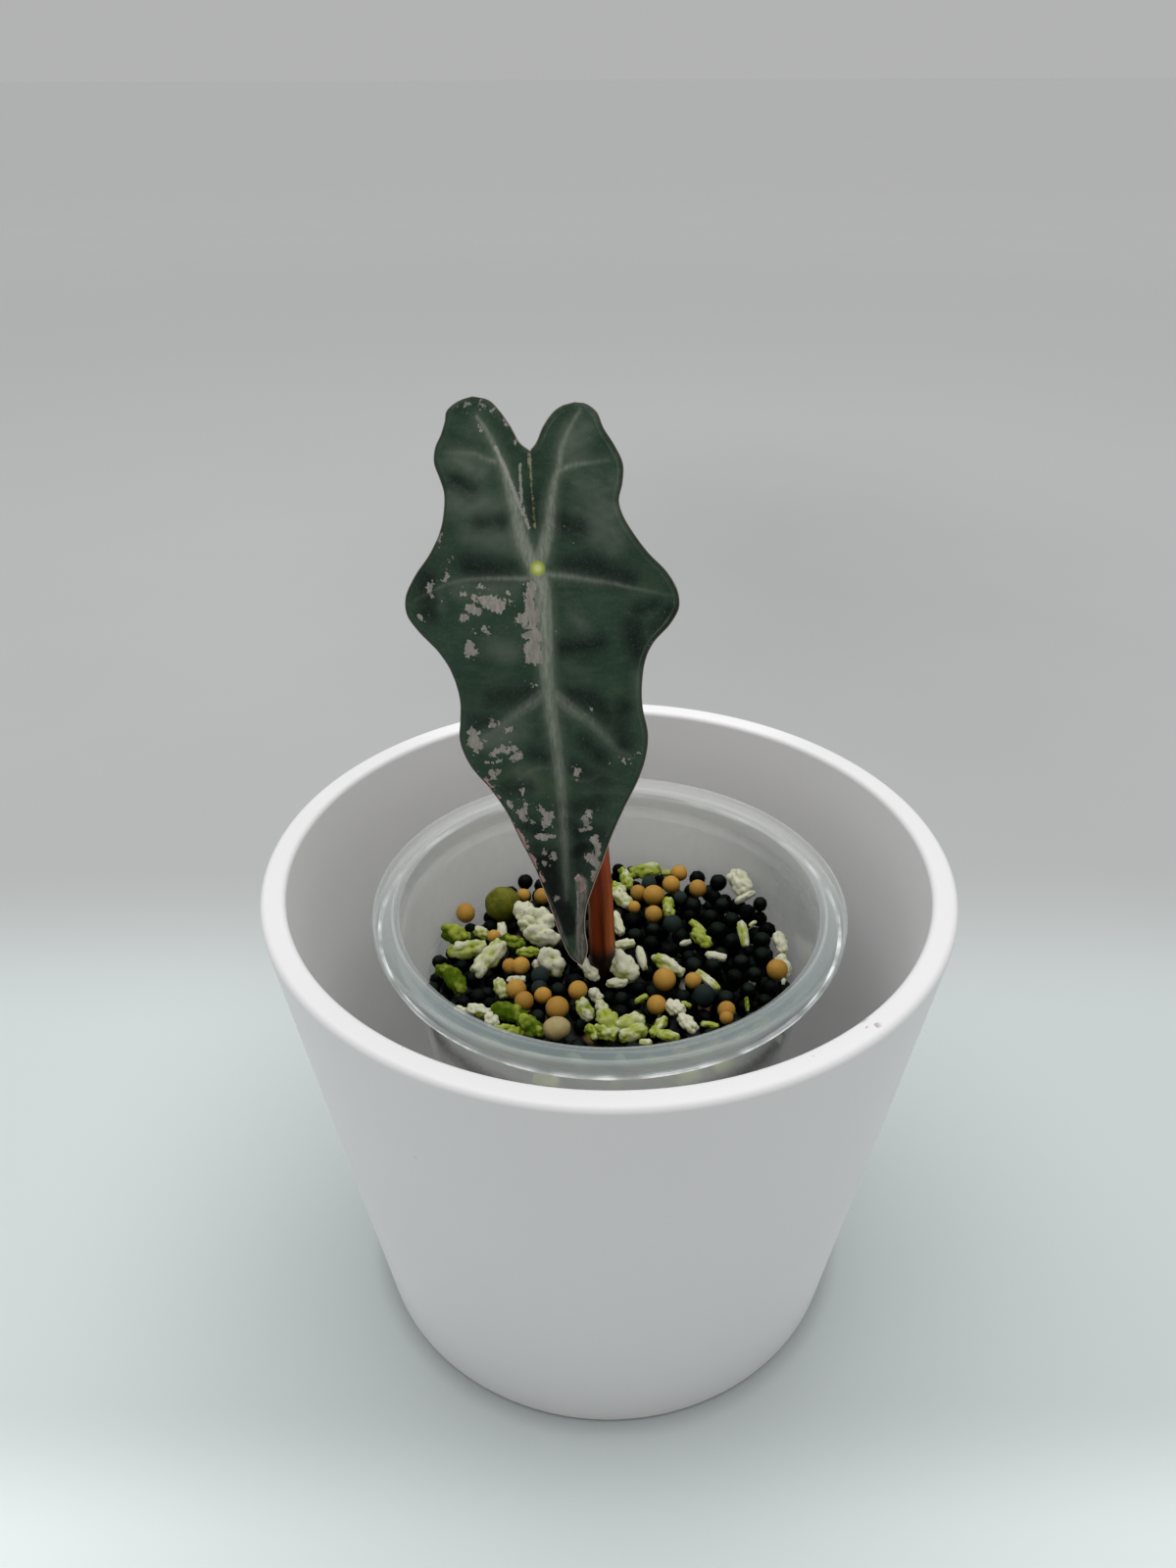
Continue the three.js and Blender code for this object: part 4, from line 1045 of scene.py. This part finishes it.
def leafMaterial(s):
    paint = Paint("variegatedLeaf", specular=0.19)
    place, read, cover = paint.place, paint.read, paint.cover
    cloud = place.patches(170, 0.3, 0.72, 4)
    fine = place.noise(1100, 5)
    wide = place.noise(430, 2)
    tiny = place.noise(3000, 2)
    smear = place.mapped((230, 230, 800)).patches(1, 0.42, 0.75, 4)
    streak = place.mapped((2600, 2600, 260)).noise(1, 3)
    paint.base(cloud, s.deep, s.green)
    # painted sheen: soft paler streaks
    cover(smear * 0.35, s.smear)
    # painted sheen: paler patches where the satin surface reflects the light
    cover(read("pale") * cloud.remap(0, 1, 0.45, 1), s.pale)
    cover(place.patches(130, 0.58, 0.72) * 0.35, s.fresh)
    # painted shade in the hollows above the veins
    cover(read("hollow") * cloud.remap(0, 1, 1, 0.7), s.hollow)
    cover(tiny.remap(0.48, 0.72) * 0.16, s.haze)
    cover(read("tipDark") * fine.remap(0.3, 0.6, 0.8, 1), s.tipDark)
    cover(read("vein") * streak.remap(0.3, 0.68, 0.72, 1.14), s.vein)
    # ragged flecks: the stroke's field, pushed in and out by noise
    push = (fine - 0.5) * 1.3 + (tiny - 0.5) * 1.2 + (wide - 0.5) * 1.5
    dust = place.specks(1700, 0.4, 0.2) * read("nearFleck") * 0.75
    fleck = (read("fleck") + push).remap(-0.02, 0.05).maths("MAXIMUM", dust)
    fleck = fleck.maths("MAXIMUM", place.specks(800, 0.16, 0.12) * 0.45)
    cover(fleck * 0.94, mix(streak.remap(0.35, 0.65), s.fleck, s.fleckStreak))
    cover((read("fineLine") + push * 0.25).remap(-0.06, 0.1) * 0.8, s.fineLine)
    cover((read("seam") + push * 0.25).remap(-0.06, 0.1) * 0.7, s.seam)
    cover((read("pink") + push * 0.8).remap(-0.05, 0.1), s.pink)
    cover(read("tipMilk") * streak.remap(0.35, 0.62, 0.35, 0.95), s.tipMilk)
    # margin: a dark edge, a painted highlight along the rolled margin inside it, and a thin cream outline
    # that grows towards the tip
    edge = read("edge")
    cover(edge.remap(0.42, 0.2) * 0.6, s.darkEdge)
    innerLine = (edge - 0.72).maths("ABSOLUTE").remap(0.2, 0) * read("innerLine")
    cover(innerLine * cloud.remap(0.1, 0.9, 0.3, 1), s.innerLine)
    cover(edge.remap(0.16, 0.06) * read("cream"), s.cream)
    spot = read("spot")
    cover((spot + push * 0.15).remap(0.2, 0.5), s.spotEdge)
    cover(spot.remap(0.45, 0.95), s.spot)
    under = mix(cloud * 0.5, mix(read("vein"), s.under, s.underVein), s.underCloud)
    cover(read("under").remap(0.45, 0.9), under)
    paint.set("Roughness", cloud.remap(0, 1, 0.38, 0.48) + fleck * 0.12)
    return paint.finish(place.cells(1900) * 0.35 + fine - fleck * 0.25, 0.00013, 0.5)


def leafPatch(bm, inner, outer, top, bottom, s):
    # one half between two lines: a grid whose points are moved to their rows and columns
    rows = max(2, round((top - bottom) / s.rowStep))
    before = len(bm.verts)
    bmesh.ops.create_grid(bm, x_segments=s.columns, y_segments=rows, size=0.5)
    bm.verts.ensure_lookup_table()
    for vert in bm.verts[before:]:
        share = 1 - (0.5 - vert.co.x) ** s.crowding
        y = top + (bottom - top) * (vert.co.y + 0.5)
        vert.co = (float(inner(y) + (outer(y) - inner(y)) * share), y, 0)


def leafSheet(s):
    bm = bmesh.new()
    spineLine = crossing(spine)
    for earTop, inside, side in leafHalves:
        outer = crossing([earTop, *side, tip])
        inner = crossing([earTop, *reversed(inside), notch])
        leafPatch(bm, inner, outer, earTop[1], notch[1], s)
        leafPatch(bm, spineLine, outer, notch[1], tip[1], s)
    bmesh.ops.remove_doubles(bm, verts=bm.verts, dist=0.012)
    bmesh.ops.dissolve_degenerate(bm, edges=bm.edges, dist=0.004)
    bm.normal_update()
    for face in bm.faces:
        if face.normal.z < 0:
            face.normal_flip()
    return bm


def leafHeights(s, x, y, lower, edge, depth):
    # quilted between the veins, with a lip at the margin, and with ribs on the back
    lines = [(0, *flat) for _, *flat in leafStrokes["hollow"]]
    hollows = strokeField(lines, x, y)
    z = s.quilt * (1 - depth) - np.where(y > 0, s.earArch, s.tipArch) * y * y - s.droop * x * x
    z -= s.hollowDepth * np.exp(-(hollows / s.hollowReach)**2)
    z += s.lip * np.exp(-((edge - s.lipPlace) / s.lipReach)**2)
    z -= s.edgeDrop * np.exp(-(edge / s.edgeReach)**2)
    z += s.ripple * np.sin(x * 2.1 + np.sin(y * 1.7) * 1.4) * np.sin(y * 1.9 + x * 0.6) * (1 - depth)
    thick = s.edgeThickness + (s.thickness - s.edgeThickness) * smoothStep(0, 1.6, edge)
    taper = np.clip(1 - np.abs(y + 6) / 55, 0.15, 1) * smoothStep(0, 2, edge)
    fromMidrib = nearestOnLine(leafVeins[0][2], x, y)[0]
    thick += s.rib * taper * np.exp(-(fromMidrib / s.ribReach)**2) + s.veinRib * taper * depth**9
    return np.where(lower, z - thick, z)


def leafFields(x, y, lower, edge, pale):
    fields = {name: strokeField(strokes, x, y) for name, strokes in leafStrokes.items()}
    for name, (low, high) in leafSoftness.items():
        fields[name] = smoothStep(low, high, fields[name])
    for name in ("pink", "fineLine", "seam"):
        fields[name] = np.clip(fields[name], -1, 1)
    fields["fleck"] = np.clip(fields["fleck"], -2, 1)
    return {
        **fields, "nearFleck": smoothStep(-1.7, -0.1, fields["fleck"]), "vein": pale,
        "edge": np.clip(edge, 0, 3), "under": lower.astype(float),
        "spot": np.clip(1.15 - np.hypot(x - 0.05, y + 0.1) / 1.25, 0, 1),
        "cream": (0.3 + 0.7 * smoothStep(-26, -44, y)
                  + 0.3 * smoothStep(13, 15, y) * smoothStep(4, 2, np.abs(x - 0.8))),
        "innerLine": 0.08 + 0.4 * smoothStep(0, 3, x) * smoothStep(-34, -12, y),
    }


def makeLeaf(s):
    bm = leafSheet(s)
    copied = bmesh.ops.extrude_face_region(bm, geom=bm.faces[:], use_keep_orig=True)["geom"]
    underside = {v for v in copied if isinstance(v, bmesh.types.BMVert)}
    x = np.array([v.co.x for v in bm.verts])
    y = np.array([v.co.y for v in bm.verts])
    lower = np.array([v in underside for v in bm.verts])
    margin = [(0, *smoothLine([notch, *inside, earTop, *side, tip], 5).ravel())
              for earTop, inside, side in leafHalves]
    edge = -strokeField(margin, x, y)
    pale, depth = veinField(s, x, y)
    heights = leafHeights(s, x, y, lower, edge, depth)
    for name, values in leafFields(x, y, lower, edge, pale).items():
        layer = bm.verts.layers.float.new(name)
        for vert, value in zip(bm.verts, values):
            vert[layer] = float(value)
    for vert, height in zip(bm.verts, heights):
        vert.co.z = float(height)
    bmesh.ops.recalc_face_normals(bm, faces=bm.faces)
    lean = Matrix.Rotation(math.radians(90 - s.lean), 4, "X")
    roll = Matrix.Rotation(math.radians(s.roll), 4, "Z")
    move = Matrix.Translation(Vector(s.place) * mm) @ lean @ roll @ Matrix.Scale(mm, 4)
    bmesh.ops.transform(bm, matrix=move, verts=bm.verts)
    finishPiece("leafBlade", bm, leafMaterial(leafColours), ["leaf_blade"], 75)


makeLeaf(leafSizes)


# Petiole: red-brown, glossy, from between the grains over to the back of the blade

petioleSizes = Values(
    line=[(-0.9, 0.6, 54.5), (-0.9, 0.5, 58), (-0.9, 0.5, 66), (-1.3, 0.9, 78), (-2.5, 1.7, 94),
          (-4.8, 2.2, 110), (-7.4, 1.9, 123), (-9.1, 0.5, 130.5), (-9.75, -1.7, 133.9),
          (-9.85, -3, 134.7)],
    baseRadius=2.35, topRadius=1.15, around=40, along=200,
    swell=0.35, swellPlace=0.03, swellReach=0.08, flare=0.5, flareFrom=0.965,
    ridges=5, ridgeHeight=0.018, ridgeTwist=6,
    dark=(0.045, 0.004, 0.001), red=(0.20, 0.026, 0.004), orange=(0.46, 0.092, 0.026),
    lowOrange=(0.60, 0.21, 0.065), foot=(0.006, 0.0012, 0.0004), dots=(0.06, 0.012, 0.005),
    roughness=0.34, specular=0.22, coat=0.06, coatRoughness=0.2,
    lowPart=(84, 72), footPart=(68.4, 64.8),
)


def petioleMaterial(s):
    paint = Paint("redPetiole", s.roughness, s.specular)
    paint.set("Coat Weight", s.coat)
    paint.set("Coat Roughness", s.coatRoughness)
    height = paint.place.axes()[2]
    streak = paint.place.mapped((900, 900, 35)).noise(1, 3)
    # painted light: the lit side is painted orange, more so lower down
    orange = paint.read("litSide") * streak.remap(0.35, 0.6, 0.5, 1)
    paint.base(streak.remap(0.3, 0.7), s.dark, s.red)
    paint.cover(orange, s.orange)
    paint.cover(orange * height.ramp(*s.lowPart, 0, 0.4), s.lowOrange)
    # painted shade: the foot is painted nearly black
    paint.cover(height.ramp(*s.footPart), s.foot)
    paint.cover(paint.place.specks(1300, 0.3, 0.15) * 0.35, s.dots)
    return paint.finish(streak, 0.0002, 0.35)


def makePetiole(s):
    line = smoothLine(s.line, 40)
    lengths = np.concatenate([[0], np.cumsum(np.linalg.norm(np.diff(line, axis=0), axis=1))])
    at = np.linspace(0, lengths[-1], s.along + 1)
    path = np.array([np.interp(at, lengths, line[:, i]) for i in range(3)]).T
    ahead = np.gradient(path, axis=0)
    ahead /= np.linalg.norm(ahead, axis=1)[:, None]
    bm, layer = newMesh("litSide")
    bmesh.ops.create_grid(bm, x_segments=s.around, y_segments=s.along, size=0.5)
    for vert in bm.verts:
        angle = 2 * math.pi * (vert.co.x + 0.5)
        step = int(round((vert.co.y + 0.5) * s.along))
        share = step / s.along
        across = np.array([1.0, 0, 0]) - ahead[step] * ahead[step][0]
        across /= np.linalg.norm(across)
        behind = np.cross(ahead[step], across)
        radius = s.baseRadius + (s.topRadius - s.baseRadius) * share
        radius += s.swell * math.exp(-((share - s.swellPlace) / s.swellReach)**2)
        radius += s.flare * smoothStep(s.flareFrom, 1, share)
        radius *= 1 + s.ridgeHeight * math.sin(s.ridges * angle + s.ridgeTwist * share)
        vert.co = Vector(path[step] + (across * math.cos(angle) + behind * math.sin(angle)) * radius) * mm
        # painted light: how much a point lies on the lit side, less at its very edge
        vert[layer] = float(smoothStep(0.0, 0.45, math.cos(angle - 0.15))
                            * (1 - 0.55 * smoothStep(0.78, 0.98, math.cos(angle))))
    bmesh.ops.remove_doubles(bm, verts=bm.verts, dist=0.004 * mm)
    bmesh.ops.holes_fill(bm, edges=[e for e in bm.edges if e.is_boundary])
    bmesh.ops.recalc_face_normals(bm, faces=bm.faces)
    finishPiece("leafStalk", bm, petioleMaterial(s), ["petiole"], 60)


makePetiole(petioleSizes)


# Corm and roots: the CAD node stays, buried in the grains, with its own finish

cormColours = Values(brown=(0.25, 0.14, 0.06), pale=(0.36, 0.25, 0.14), dots=(0.07, 0.035, 0.015))


def cormMaterial(s):
    paint = Paint("cormBrown", 0.8)
    cloud = paint.place.patches(300, 0.3, 0.7)
    paint.base(cloud, s.brown, s.pale)
    paint.cover(paint.place.specks(700, 0.35, 0.3) * 0.7, s.dots)
    return paint.finish(cloud, 0.0005, 0.6)


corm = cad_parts["corm_and_roots"]
corm.data.materials.clear()
corm.data.materials.append(cormMaterial(cormColours))
print("finished the corm")
